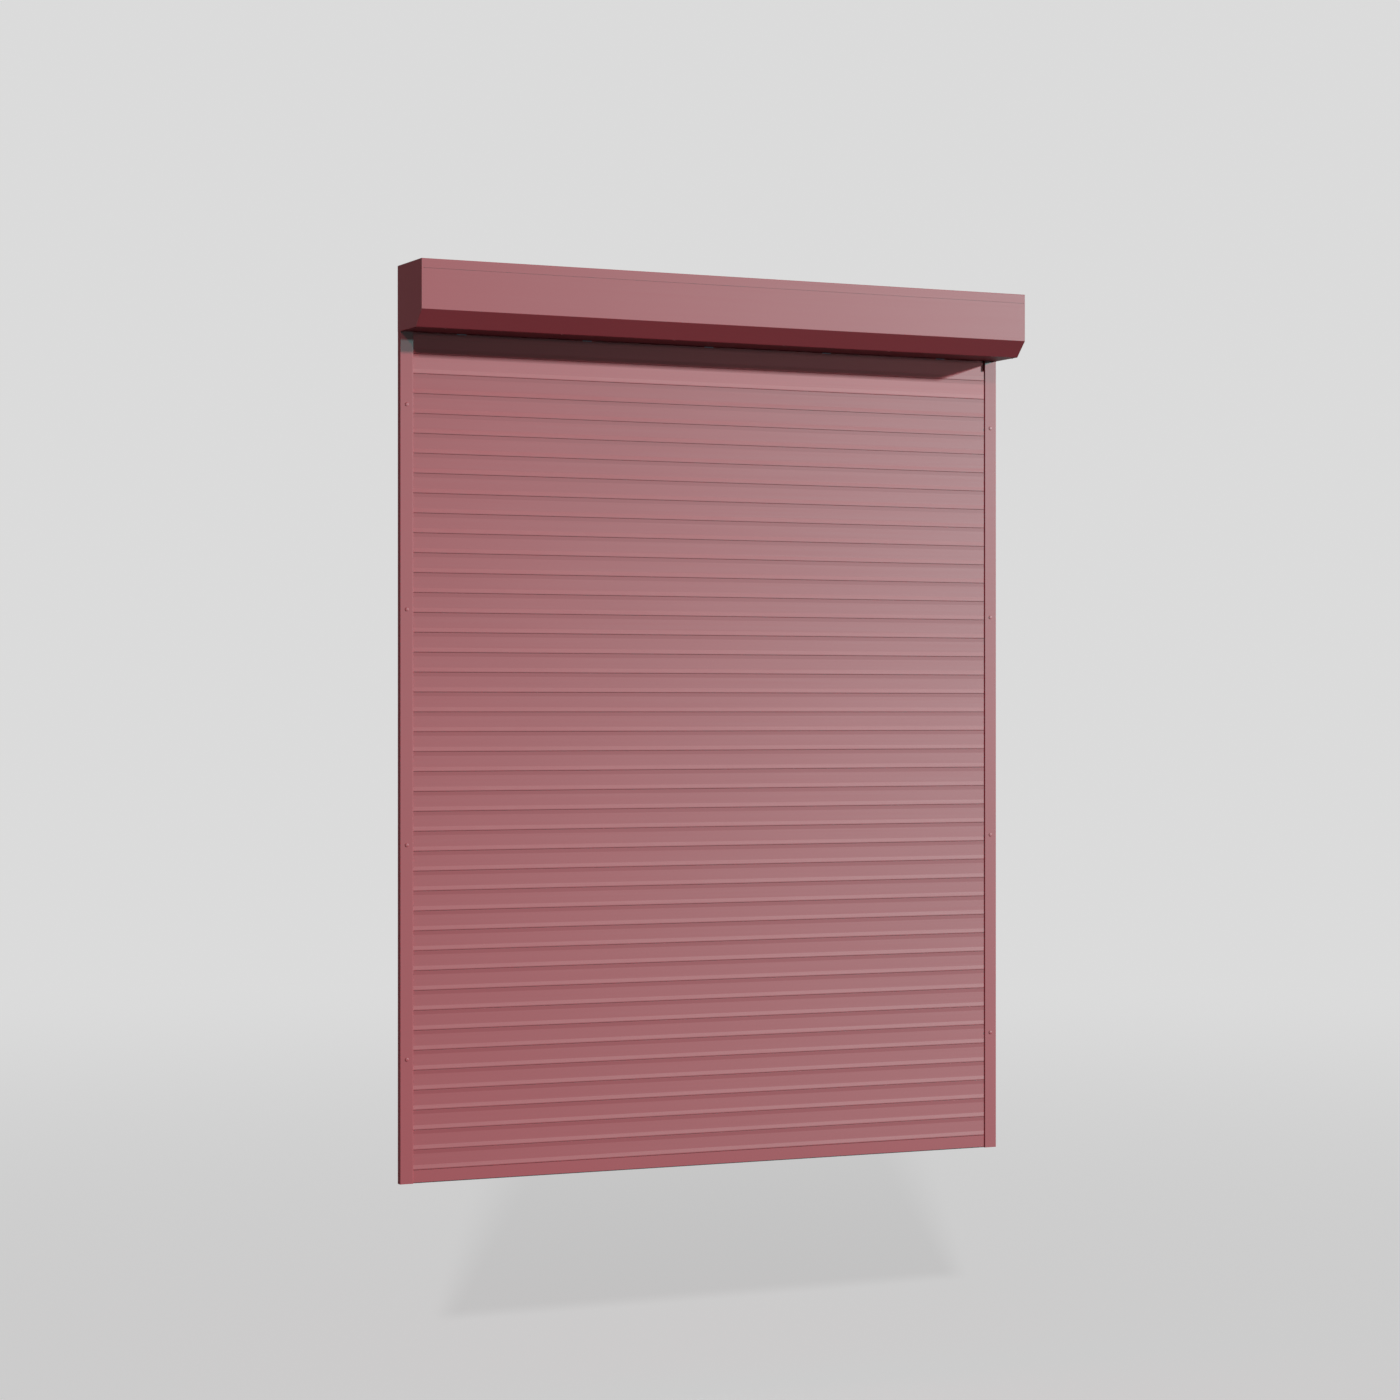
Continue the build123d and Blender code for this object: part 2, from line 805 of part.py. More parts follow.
# Roller: the octagonal tube and what turns with it

with BuildPart() as roller_tube:
    with BuildSketch(across(-tube_end)):
        with Locations((0, roller_height)):
            RegularPolygon(tube_apothem, tube_sides, major_radius=False)
            RegularPolygon(tube_inner_apothem, tube_sides, major_radius=False, mode=Mode.SUBTRACT)
    extrude(amount=2 * tube_end)
save(roller_tube, "roller_tube")

with BuildPart() as motor_crown:
    with BuildSketch(across(tube_end)):
        with Locations((0, roller_height)):
            RegularPolygon(insert_apothem, tube_sides, major_radius=False)
    extrude(amount=-crown_length)
    with BuildSketch(across(tube_end)):
        with Locations((0, roller_height)):
            RegularPolygon(tube_apothem + flange_rise, tube_sides, major_radius=False)
    extrude(amount=plug_flange)
    with BuildSketch(across(tube_end - crown_length)):
        with Locations((0, roller_height)):
            Circle(motor_radius + running_gap)
    extrude(amount=crown_length + plug_flange, mode=Mode.SUBTRACT)
save(motor_crown, "motor_crown")

motor_end = head_inner - motor_length

with BuildPart() as motor_body:
    with BuildSketch(across(head_inner)):
        with Locations((0, roller_height)):
            Circle(motor_radius)
    extrude(amount=-motor_length)
    with BuildSketch(across(motor_end)):
        with Locations((0, roller_height)):
            Circle(shaft_radius + running_gap)
    extrude(amount=shaft_engagement + side_gap, mode=Mode.SUBTRACT)
save(motor_body, "motor_body")

wheel_start = motor_end - side_gap - plug_flange

with BuildPart() as output_shaft:
    with BuildSketch(across(motor_end + shaft_engagement)):
        with Locations((0, roller_height)):
            Circle(shaft_radius)
    extrude(amount=-(shaft_engagement + plug_flange + side_gap))
    with BuildSketch(across(wheel_start)):
        with Locations((0, roller_height)):
            RegularPolygon(shaft_hex / 2, hex_sides, major_radius=False)
    extrude(amount=-wheel_length)
save(output_shaft, "output_shaft")

with BuildPart() as drive_wheel:
    with BuildSketch(across(wheel_start)):
        with Locations((0, roller_height)):
            RegularPolygon(insert_apothem, tube_sides, major_radius=False)
            RegularPolygon(shaft_hex / 2 + running_gap, hex_sides, major_radius=False, mode=Mode.SUBTRACT)
    extrude(amount=-wheel_length)
save(drive_wheel, "drive_wheel")

with BuildPart() as idler_plug:
    with BuildSketch(across(-tube_end)):
        with Locations((0, roller_height)):
            RegularPolygon(insert_apothem, tube_sides, major_radius=False)
    extrude(amount=idler_length)
    with BuildSketch(across(-tube_end)):
        with Locations((0, roller_height)):
            RegularPolygon(tube_apothem + flange_rise, tube_sides, major_radius=False)
    extrude(amount=-plug_flange)
    with BuildSketch(across(-tube_end - plug_flange)):
        with Locations((0, roller_height)):
            Circle(pin_radius + running_gap)
    extrude(amount=plug_flange + pin_reach, mode=Mode.SUBTRACT)
save(idler_plug, "idler_plug")

bush_outer = bracket_inner - side_gap

with BuildPart() as idler_pin:
    with BuildSketch(across(-bush_outer)):
        with Locations((0, roller_height)):
            Circle(pin_radius)
    extrude(amount=bush_outer - tube_end + pin_reach - side_gap)
    chamfer(idler_pin.edges().filter_by(GeomType.CIRCLE), edge_round)
save(idler_pin, "idler_pin")

# Brackets that carry the roller on the end caps

with BuildPart() as bearing_bracket:
    with BuildSketch(across(-cap_inner)):
        with Locations((0, roller_height)):
            RectangleRounded(bracket_side, bracket_side, bracket_corner)
            with GridLocations(bracket_screw_spacing, bracket_screw_spacing, 2, 2):
                Circle(screw_radius, mode=Mode.SUBTRACT)
    extrude(amount=bracket_wall)
    with BuildSketch(across(-bracket_inner)):
        with Locations((0, roller_height)):
            Circle(hub_radius)
            Circle(bush_radius, mode=Mode.SUBTRACT)
    extrude(amount=bush_length)
save(bearing_bracket, "bearing_bracket")

with BuildPart() as bearing_bush:
    with BuildSketch(across(-bracket_inner)):
        with Locations((0, roller_height)):
            Circle(bush_radius - running_gap)
            Circle(pin_radius + running_gap, mode=Mode.SUBTRACT)
    extrude(amount=bush_length)
save(bearing_bush, "bearing_bush")

with BuildPart() as motor_bracket:
    with BuildSketch(across(bracket_inner)):
        with Locations((0, roller_height)):
            RectangleRounded(bracket_side, bracket_side, bracket_corner)
            Circle(head_spigot_radius + running_gap, mode=Mode.SUBTRACT)
            with GridLocations(bracket_screw_spacing, bracket_screw_spacing, 2, 2):
                Circle(screw_radius, mode=Mode.SUBTRACT)
    extrude(amount=bracket_wall)
save(motor_bracket, "motor_bracket")

adjuster_x = (head_inner + bracket_inner) / 2
adjuster_places = [(adjuster_x, side * adjuster_spacing / 2) for side in (-1, 1)]
head_low = roller_height - head_radius
adjuster_top = head_low + adjuster_length + adjuster_room

with BuildPart() as motor_head:
    with BuildSketch(across(head_inner)):
        with Locations((0, roller_height)):
            Circle(head_radius)
    extrude(amount=bracket_inner - head_inner)
    fillet(motor_head.edges().filter_by(GeomType.CIRCLE), edge_round)
    with BuildSketch(across(bracket_inner)):
        with Locations((0, roller_height)):
            Circle(head_spigot_radius)
    extrude(amount=bracket_wall)
    with BuildSketch(level(head_low)):
        with Locations(*adjuster_places):
            Circle(adjuster_radius + running_gap)
    extrude(amount=adjuster_length + adjuster_room, mode=Mode.SUBTRACT)
    # The socket that the motor lead plugs into
    with BuildSketch(level(roller_height + head_radius)):
        with Locations((adjuster_x, 0)):
            Rectangle(inlet_height, inlet_width)
    extrude(amount=-inlet_depth, mode=Mode.SUBTRACT)
save(motor_head, "motor_head")

for place, name in zip(adjuster_places, ("limit_screw_up", "limit_screw_down")):
    with BuildPart() as limit_screw:
        with BuildSketch(level(adjuster_top - side_gap)):
            with Locations(place):
                Circle(adjuster_radius)
        extrude(amount=-adjuster_length)
        with BuildSketch(level(adjuster_top - side_gap - adjuster_length)):
            with Locations(place):
                RegularPolygon(adjuster_socket / 2, hex_sides, major_radius=False)
        extrude(amount=adjuster_socket_depth, mode=Mode.SUBTRACT)
    save(limit_screw, name)

with BuildPart() as bracket_screw:
    Cylinder(
        screw_radius - running_gap,
        bracket_wall + cap_plate - blind_floor,
        align=(Align.CENTER, Align.CENTER, Align.MAX),
    )
    Cylinder(screw_head_radius, screw_head_height, align=(Align.CENTER, Align.CENTER, Align.MIN))
    fillet(bracket_screw.edges().filter_by(GeomType.CIRCLE).sort_by(Axis.Z)[-1], screw_head_height / 2)

with BuildPart() as bracket_screws:
    for side in (-1, 1):
        bracket_face = Plane(
            origin=(side * (bracket_inner - fit_gap), 0, roller_height),
            x_dir=(0, 1, 0),
            z_dir=(-side, 0, 0),
        )
        with Locations(bracket_face):
            with GridLocations(bracket_screw_spacing, bracket_screw_spacing, 2, 2):
                add(bracket_screw.part)
save(bracket_screws, "bracket_screws")

# Hanger straps from the tube down to the top slat's hook

strap_radius = tube_apothem / cos(pi / tube_sides) + strap_gap
hook_top = bar_height + slat_count * slat_pitch + hook_height
clip_middle = face_plane + (hook_set + drop_back) / 2
clip_top = hook_top + clip_gap + clip_wall
clip_half = (drop_back - hook_set) / 2 + clip_gap + clip_wall
end_distance = hypot(clip_middle, clip_top - roller_height)
tangent_angle = degrees(
    atan2(clip_top - roller_height, clip_middle) + acos((strap_radius + strap_wall) / end_distance)
)

with BuildPart() as hanger_straps:
    with BuildSketch(across(-strap_width / 2)):
        with BuildLine():
            strap_arc = CenterArc(
                (0, roller_height),
                strap_radius + strap_wall,
                tangent_angle,
                strap_wrap,
            )
            Line(strap_arc @ 0, (clip_middle, clip_top))
            offset(amount=strap_wall, side=Side.LEFT)
        make_face()
    extrude(amount=strap_width)
    with BuildSketch(across(-strap_width / 2)):
        with Locations((clip_middle, clip_top)):
            Rectangle(2 * clip_half, clip_wall + clip_gap + clip_leg, align=(Align.CENTER, Align.MAX))
        with Locations((clip_middle, clip_top - clip_wall)):
            Rectangle(
                2 * (clip_half - clip_wall),
                clip_gap + clip_leg,
                align=(Align.CENTER, Align.MAX),
                mode=Mode.SUBTRACT,
            )
    extrude(amount=strap_width)
one_strap = hanger_straps.part

with BuildPart() as strap_set:
    with Locations(*[(x, 0, 0) for x in spread(strap_count, strap_end_distance)]):
        add(one_strap)
save(strap_set, "hanger_straps")
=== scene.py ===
"""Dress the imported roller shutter: finishes, small fittings, studio and camera."""

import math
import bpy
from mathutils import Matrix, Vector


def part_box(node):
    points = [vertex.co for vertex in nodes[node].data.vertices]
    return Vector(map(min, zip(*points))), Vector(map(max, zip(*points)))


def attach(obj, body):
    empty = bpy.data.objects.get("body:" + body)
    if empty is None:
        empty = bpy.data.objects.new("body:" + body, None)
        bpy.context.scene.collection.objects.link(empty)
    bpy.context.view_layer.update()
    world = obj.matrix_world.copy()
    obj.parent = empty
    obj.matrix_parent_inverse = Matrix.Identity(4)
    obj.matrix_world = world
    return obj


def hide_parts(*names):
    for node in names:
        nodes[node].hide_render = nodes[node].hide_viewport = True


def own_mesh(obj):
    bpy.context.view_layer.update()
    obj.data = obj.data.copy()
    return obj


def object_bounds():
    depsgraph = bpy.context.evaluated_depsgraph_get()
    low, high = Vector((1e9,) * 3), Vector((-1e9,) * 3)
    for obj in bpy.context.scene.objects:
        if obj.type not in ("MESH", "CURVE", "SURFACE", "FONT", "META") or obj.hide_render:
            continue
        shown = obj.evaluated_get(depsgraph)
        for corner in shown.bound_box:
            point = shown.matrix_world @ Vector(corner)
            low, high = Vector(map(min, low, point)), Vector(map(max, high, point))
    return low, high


bl_info = {
    "name": "Roller shutter",
    "version": (1, 0, 0),
    "blender": (4, 5, 0),
    "location": "3D View > Sidebar > Shutter",
    "description": "Finishes, fittings, studio and camera of an exterior roller shutter",
    "category": "Object",
}

import bmesh
import bpy
from bpy.props import FloatProperty, FloatVectorProperty, IntProperty, PointerProperty
from mathutils import Vector

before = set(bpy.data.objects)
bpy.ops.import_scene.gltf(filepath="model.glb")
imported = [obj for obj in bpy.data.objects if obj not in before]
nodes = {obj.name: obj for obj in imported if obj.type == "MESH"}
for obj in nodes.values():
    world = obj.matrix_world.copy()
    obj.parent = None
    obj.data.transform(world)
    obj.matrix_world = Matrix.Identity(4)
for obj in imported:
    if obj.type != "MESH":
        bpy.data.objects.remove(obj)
cad_low, cad_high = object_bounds()

MM = 0.001
SMOOTH_ANGLE = math.radians(32)
MERGE_DISTANCE = 0.01 * MM
COMPARED_DIGITS = 5


# Reading the frame


def centre_of(node):
    """The middle of a node's box."""
    low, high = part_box(node)
    return (low + high) / 2


def clusters(node, axis, gap):
    """The (low, high) stretches of a node's vertices along an axis, split at steps over the gap."""
    values = sorted({round(v.co[axis], COMPARED_DIGITS) for v in nodes[node].data.vertices})
    found = [[values[0], values[0]]]
    for value in values[1:]:
        if value - found[-1][1] > gap:
            found.append([value, value])
        found[-1][1] = value
    return found


# Making meshes


def make_piece(bm, name, material, body):
    """Turn a finished bmesh into a piece that rides on a body and has the given finish."""
    mesh = bpy.data.meshes.new(name)
    bm.to_mesh(mesh)
    bm.free()
    mesh.shade_smooth()
    mesh.set_sharp_from_angle(angle=SMOOTH_ANGLE)
    mesh.materials.append(material)
    piece = bpy.data.objects.new(name, mesh)
    bpy.context.scene.collection.objects.link(piece)
    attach(piece, body)
    return piece


def turned(bm, profile, centre, axis, steps):
    """Spin a profile of (distance along the axis, radius) points round the axis."""
    axis = Vector(axis).normalized()
    side = axis.orthogonal().normalized()
    verts = [bm.verts.new(centre + axis * along + side * radius) for along, radius in profile]
    edges = [bm.edges.new(pair) for pair in zip(verts, verts[1:])]
    bmesh.ops.spin(
        bm,
        geom=verts + edges,
        cent=centre,
        axis=axis,
        angle=math.tau,
        steps=steps,
        use_merge=True,
    )


def tidy(bm):
    """Merge doubles and point every face outwards."""
    bmesh.ops.remove_doubles(bm, verts=bm.verts, dist=MERGE_DISTANCE)
    bmesh.ops.recalc_face_normals(bm, faces=bm.faces)


# Building node trees


def add_node(tree, kind, **values):
    """A new node in a tree, with the values of its named inputs."""
    node = tree.nodes.new(kind)
    for name, value in values.items():
        node.inputs[name.replace("_", " ")].default_value = value
    return node


def new_group(name, inputs, outputs):
    """An empty shader node group with its sockets, and its input and output nodes."""
    group = bpy.data.node_groups.new(name, "ShaderNodeTree")
    for socket, kind, default in inputs:
        made = group.interface.new_socket(socket, in_out="INPUT", socket_type=kind)
        made.default_value = default
    for socket, kind in outputs:
        group.interface.new_socket(socket, in_out="OUTPUT", socket_type=kind)
    return group, group.nodes.new("NodeGroupInput"), group.nodes.new("NodeGroupOutput")


def math_node(tree, operation, first, second):
    """A Math node whose inputs are sockets or numbers."""
    node = tree.nodes.new("ShaderNodeMath")
    node.operation = operation
    for socket, value in zip(node.inputs, (first, second)):
        if isinstance(value, (int, float)):
            socket.default_value = value
        else:
            tree.links.new(value, socket)
    return node.outputs[0]


def noise_field(tree, size, detail, stretch=None):
    """Noise of a given feature size on Object coordinates; a stretch scales them first."""
    place = tree.nodes.new("ShaderNodeTexCoord").outputs["Object"]
    if stretch is not None:
        mapping = tree.nodes.new("ShaderNodeMapping")
        mapping.inputs["Scale"].default_value = stretch
        tree.links.new(place, mapping.inputs["Vector"])
        place = mapping.outputs["Vector"]
    noise = add_node(tree, "ShaderNodeTexNoise", Detail=detail)
    tree.links.new(place, noise.inputs["Vector"])
    tree.links.new(math_node(tree, "DIVIDE", 1.0, size), noise.inputs["Scale"])
    return noise.outputs["Fac"]


FLOAT = "NodeSocketFloat"
COLOUR = "NodeSocketColor"
VECTOR = "NodeSocketVector"

# Detail of each noise, and how far the rolling lines are drawn out along X
DRIFT_DETAIL = 3.0
GRAIN_DETAIL = 2.0
LINE_DETAIL = 2.0
DUST_DETAIL = 5.0
LINE_STRETCH = (0.004, 1.0, 1.0)
NOISE_MIDDLE = 0.5
CRYSTAL_ROUGHNESS_SHARE = 0.5


def tonal_drift_group():
    """A slow change of tone over a surface."""
    group, given, out = new_group(
        "tonal_drift",
        [
            ("Colour", COLOUR, (0.5, 0.5, 0.5, 1)),
            ("Patch Size", FLOAT, 0.6),
            ("Amount", FLOAT, 0.05),
        ],
        [("Colour", COLOUR)],
    )
    field = noise_field(group, given.outputs["Patch Size"], DRIFT_DETAIL)
    spread = group.nodes.new("ShaderNodeMapRange")
    group.links.new(field, spread.inputs["Value"])
    for operation, end in (("SUBTRACT", "To Min"), ("ADD", "To Max")):
        limit = math_node(group, operation, 1.0, given.outputs["Amount"])
        group.links.new(limit, spread.inputs[end])
    shade = group.nodes.new("ShaderNodeVectorMath")
    shade.operation = "SCALE"
    group.links.new(given.outputs["Colour"], shade.inputs["Vector"])
    group.links.new(spread.outputs["Result"], shade.inputs["Scale"])
    group.links.new(shade.outputs["Vector"], out.inputs["Colour"])
    return group


def fine_grain_group():
    """The small relief of a sprayed, cast or moulded skin, and the change of gloss with it."""
    group, given, out = new_group(
        "fine_grain",
        [
            ("Grain Size", FLOAT, 0.0012),
            ("Depth", FLOAT, 0.00003),
            ("Roughness", FLOAT, 0.5),
            ("Roughness Spread", FLOAT, 0.05),
        ],
        [("Roughness", FLOAT), ("Normal", VECTOR)],
    )
    field = noise_field(group, given.outputs["Grain Size"], GRAIN_DETAIL)
    bump = group.nodes.new("ShaderNodeBump")
    group.links.new(field, bump.inputs["Height"])
    group.links.new(given.outputs["Depth"], bump.inputs["Distance"])
    group.links.new(bump.outputs["Normal"], out.inputs["Normal"])
    centred = math_node(group, "SUBTRACT", field, NOISE_MIDDLE)
    swing = math_node(group, "MULTIPLY", centred, given.outputs["Roughness Spread"])
    rough = math_node(group, "ADD", given.outputs["Roughness"], swing)
    group.links.new(rough, out.inputs["Roughness"])
    return group


def rolling_lines_group():
    """Faint lines along X, as rollers and dies leave them on strip and extruded bar."""
    group, given, out = new_group(
        "rolling_lines",
        [("Line Size", FLOAT, 0.004), ("Amount", FLOAT, 0.5)],
        [("Mask", FLOAT)],
    )
    field = noise_field(group, given.outputs["Line Size"], LINE_DETAIL, stretch=LINE_STRETCH)
    lines = math_node(group, "MULTIPLY", field, given.outputs["Amount"])
    group.links.new(lines, out.inputs["Mask"])
    return group


def settled_dust_group():
    """Where dust settles: on faces that look up, in patches."""
    group, given, out = new_group(
        "settled_dust",
        [("Patch Size", FLOAT, 0.08), ("Amount", FLOAT, 0.3)],
        [("Mask", FLOAT)],
    )
    field = noise_field(group, given.outputs["Patch Size"], DUST_DETAIL)
    facing = group.nodes.new("ShaderNodeNewGeometry")
    parts = group.nodes.new("ShaderNodeSeparateXYZ")
    group.links.new(facing.outputs["Normal"], parts.inputs["Vector"])
    upward = math_node(group, "MAXIMUM", parts.outputs["Z"], 0.0)
    patches = math_node(group, "MULTIPLY", field, given.outputs["Amount"])
    group.links.new(math_node(group, "MULTIPLY", upward, patches), out.inputs["Mask"])
    return group


def zinc_spangle_group():
    """The crystal pattern of a zinc coat: a tint and a roughness for each crystal."""
    group, given, out = new_group(
        "zinc_spangle",
        [
            ("Colour", COLOUR, (0.6, 0.61, 0.63, 1)),
            ("Crystal Size", FLOAT, 0.006),
            ("Contrast", FLOAT, 0.2),
            ("Roughness", FLOAT, 0.4),
        ],
        [("Colour", COLOUR), ("Roughness", FLOAT)],
    )
    place = group.nodes.new("ShaderNodeTexCoord").outputs["Object"]
    cells = group.nodes.new("ShaderNodeTexVoronoi")
    group.links.new(place, cells.inputs["Vector"])
    scale = math_node(group, "DIVIDE", 1.0, given.outputs["Crystal Size"])
    group.links.new(scale, cells.inputs["Scale"])
    pick = group.nodes.new("ShaderNodeSeparateColor")
    group.links.new(cells.outputs["Color"], pick.inputs["Color"])
    centred = math_node(group, "SUBTRACT", pick.outputs["Red"], NOISE_MIDDLE)
    swing = math_node(group, "MULTIPLY", centred, given.outputs["Contrast"])
    shade = group.nodes.new("ShaderNodeVectorMath")
    shade.operation = "SCALE"
    group.links.new(given.outputs["Colour"], shade.inputs["Vector"])
    group.links.new(math_node(group, "ADD", 1.0, swing), shade.inputs["Scale"])
    group.links.new(shade.outputs["Vector"], out.inputs["Colour"])
    rough_swing = math_node(group, "MULTIPLY", swing, CRYSTAL_ROUGHNESS_SHARE)
    rough = math_node(group, "ADD", given.outputs["Roughness"], rough_swing)
    group.links.new(rough, out.inputs["Roughness"])
    return group


def place_group(tree, name, **values):
    """A group in a material, with values for its inputs."""
    node = tree.nodes.new("ShaderNodeGroup")
    node.node_tree = bpy.data.node_groups[name]
    for socket, value in values.items():
        node.inputs[socket.replace("_", " ")].default_value = value
    return node


def new_material(name, metallic=0.0, **plain):
    """A material with one Principled shader, whose plain values are set on its sockets."""
    material = bpy.data.materials.new(name)
    material.use_nodes = True
    shader = material.node_tree.nodes["Principled BSDF"]
    shader.inputs["Metallic"].default_value = metallic
    for socket, value in plain.items():
        shader.inputs[socket.replace("_", " ")].default_value = value
    return material, material.node_tree, shader


def mix_colours(tree, mask, first, second):
    """Mix from the first colour to the second by a mask."""
    mix = tree.nodes.new("ShaderNodeMix")
    mix.data_type = "RGBA"
    tree.links.new(mask, mix.inputs["Factor"])
    tree.links.new(first, mix.inputs["A"])
    mix.inputs["B"].default_value = second
    return mix.outputs["Result"]


def paint_material(name, paint, skin, roughness, depth=1.0, matt_dust=0.0):
    """Wine red coat on aluminium: drift of tone, fine grain, faint lines and some dust on top; a
    depth below one darkens the colour as painted shade.
    """
    grain_size, grain_depth, line_amount = skin
    # A depth below one is painted shade: the colour is darkened where shade falls, under the box.
    colour = [part * depth for part in paint.colour]
    material, tree, shader = new_material(
        name,
        IOR=paint.coat_ior,
        Specular_IOR_Level=paint.gloss,
    )
    drift = place_group(tree, "tonal_drift", Colour=(*colour, 1), Patch_Size=0.7, Amount=0.04)
    dust = place_group(tree, "settled_dust", Patch_Size=0.09, Amount=paint.dust)
    base = mix_colours(tree, dust.outputs["Mask"], drift.outputs["Colour"], (*paint.dust_colour, 1))
    tree.links.new(base, shader.inputs["Base Color"])
    grain = place_group(
        tree,
        "fine_grain",
        Grain_Size=grain_size,
        Depth=grain_depth,
        Roughness=roughness,
        Roughness_Spread=0.08,
    )
    lines = place_group(tree, "rolling_lines", Line_Size=0.003, Amount=line_amount)
    rough = math_node(tree, "ADD", grain.outputs["Roughness"], lines.outputs["Mask"])
    matt = math_node(tree, "MULTIPLY", dust.outputs["Mask"], matt_dust)
    tree.links.new(math_node(tree, "ADD", rough, matt), shader.inputs["Roughness"])
    tree.links.new(grain.outputs["Normal"], shader.inputs["Normal"])
    return material


def zinc_material(name, colour, crystal_size, contrast, roughness):
    """Zinc coated steel."""
    material, tree, shader = new_material(name, metallic=1.0)
    spangle = place_group(
        tree,
        "zinc_spangle",
        Colour=(*colour, 1),
        Crystal_Size=crystal_size,
        Contrast=contrast,
        Roughness=roughness,
    )
    tree.links.new(spangle.outputs["Colour"], shader.inputs["Base Color"])
    tree.links.new(spangle.outputs["Roughness"], shader.inputs["Roughness"])
    grain = place_group(tree, "fine_grain", Grain_Size=0.0008, Depth=0.00001)
    tree.links.new(grain.outputs["Normal"], shader.inputs["Normal"])
    return material


def moulded_material(name, colour, roughness, grain_size, grain_depth, gloss=0.5):
    """Moulded plastic or rubber with a fine skin."""
    material, tree, shader = new_material(name, Specular_IOR_Level=gloss)
    drift = place_group(tree, "tonal_drift", Colour=(*colour, 1), Patch_Size=0.02, Amount=0.15)
    tree.links.new(drift.outputs["Colour"], shader.inputs["Base Color"])
    grain = place_group(
        tree,
        "fine_grain",
        Grain_Size=grain_size,
        Depth=grain_depth,
        Roughness=roughness,
        Roughness_Spread=0.12,
    )
    tree.links.new(grain.outputs["Roughness"], shader.inputs["Roughness"])
    tree.links.new(grain.outputs["Normal"], shader.inputs["Normal"])
    return material


# Sizes and colours


class ShutterPaint(bpy.types.PropertyGroup):
    """The coat on every aluminium piece."""

    colour: FloatVectorProperty(
        name="Paint colour",
        description="Wine red of the coat",
        default=(0.285, 0.036, 0.048),
        subtype="COLOR",
        size=3,
    )
    roughness: FloatProperty(
        name="Roughness", description="Roughness of the satin coat", default=0.55
    )
    slat_roughness: FloatProperty(
        name="Slat roughness", description="Roughness of the duller coat on the slats", default=0.75
    )
    coat_ior: FloatProperty(
        name="Coat IOR", description="Refractive index of the coat", default=1.5
    )
    gloss: FloatProperty(
        name="Gloss", description="Share of the coat's reflection that is left", default=0.12
    )
    # Painted shade: the underside's coat colour is scaled by this share, standing in for the shade
    # under the box.
    underside_painted_shade: FloatProperty(
        name="Underside",
        description="Depth of the colour under the box, as a share of the rest",
        default=0.3,
    )
    dust: FloatProperty(name="Dust", description="Dust on the faces that look up", default=0.25)
    matt_dust: FloatProperty(
        name="Matt dust", description="Roughness that dust adds to the box's strips", default=3.0
    )
    dust_colour: FloatVectorProperty(
        name="Dust colour",
        description="Colour of settled dust",
        default=(0.42, 0.36, 0.33),
        subtype="COLOR",
        size=3,
    )


class ShutterMetal(bpy.types.PropertyGroup):
    """The steel pieces in the box and the screws."""

    zinc: FloatVectorProperty(
        name="Zinc colour",
        description="Colour of the zinc coat",
        default=(0.60, 0.61, 0.63),
        subtype="COLOR",
        size=3,
    )
    spring: FloatVectorProperty(
        name="Spring steel colour",
        description="Blued steel of the hanger straps",
        default=(0.16, 0.17, 0.2),
        subtype="COLOR",
        size=3,
    )
    crystal: FloatProperty(
        name="Crystal size", description="Size of the zinc crystals", default=0.006, unit="LENGTH"
    )


class ShutterFittings(bpy.types.PropertyGroup):
    """The small pieces that are modelled here."""

    plug_radius: FloatProperty(
        name="Plug radius", description="Radius of a hole plug", default=7.5 * MM, unit="LENGTH"
    )
    plug_lip: FloatProperty(
        name="Plug lip",
        description="Height of a plug's straight rim",
        default=0.5 * MM,
        unit="LENGTH",
    )
    plug_steps: IntProperty(name="Plug steps", description="Steps round a plug", default=32)
    strap_wall: FloatProperty(
        name="Strap wall",
        description="Thickness of a hanger strap",
        default=1.2 * MM,
        unit="LENGTH",
    )
    strap_gap: FloatProperty(
        name="Strap gap",
        description="Room between strap and tube corners",
        default=0.5 * MM,
        unit="LENGTH",
    )
    strap_wrap: FloatProperty(
        name="Strap wrap",
        description="Angle of a strap round the tube",
        default=math.radians(118),
        unit="ROTATION",
    )
    clip_width: FloatProperty(
        name="Clip width",
        description="Width of the clip on the top slat's hook",
        default=8.0 * MM,
        unit="LENGTH",
    )
    clip_height: FloatProperty(
        name="Clip height", description="Height of that clip", default=6.3 * MM, unit="LENGTH"
    )
    clip_wall: FloatProperty(
        name="Clip wall", description="Wall of that clip", default=1.5 * MM, unit="LENGTH"
    )
    grommet_neck: FloatProperty(
        name="Grommet neck",
        description="Neck of the cable grommet as a share of its flange",
        default=0.74,
    )
    grommet_edge: FloatProperty(
        name="Grommet edge",
        description="Size of its rounded edges",
        default=0.35 * MM,
        unit="LENGTH",
    )
    grommet_rings: IntProperty(
        name="Grommet rings", description="Raised rings on its membrane", default=3
    )
    grommet_steps: IntProperty(name="Grommet steps", description="Steps round it", default=40)


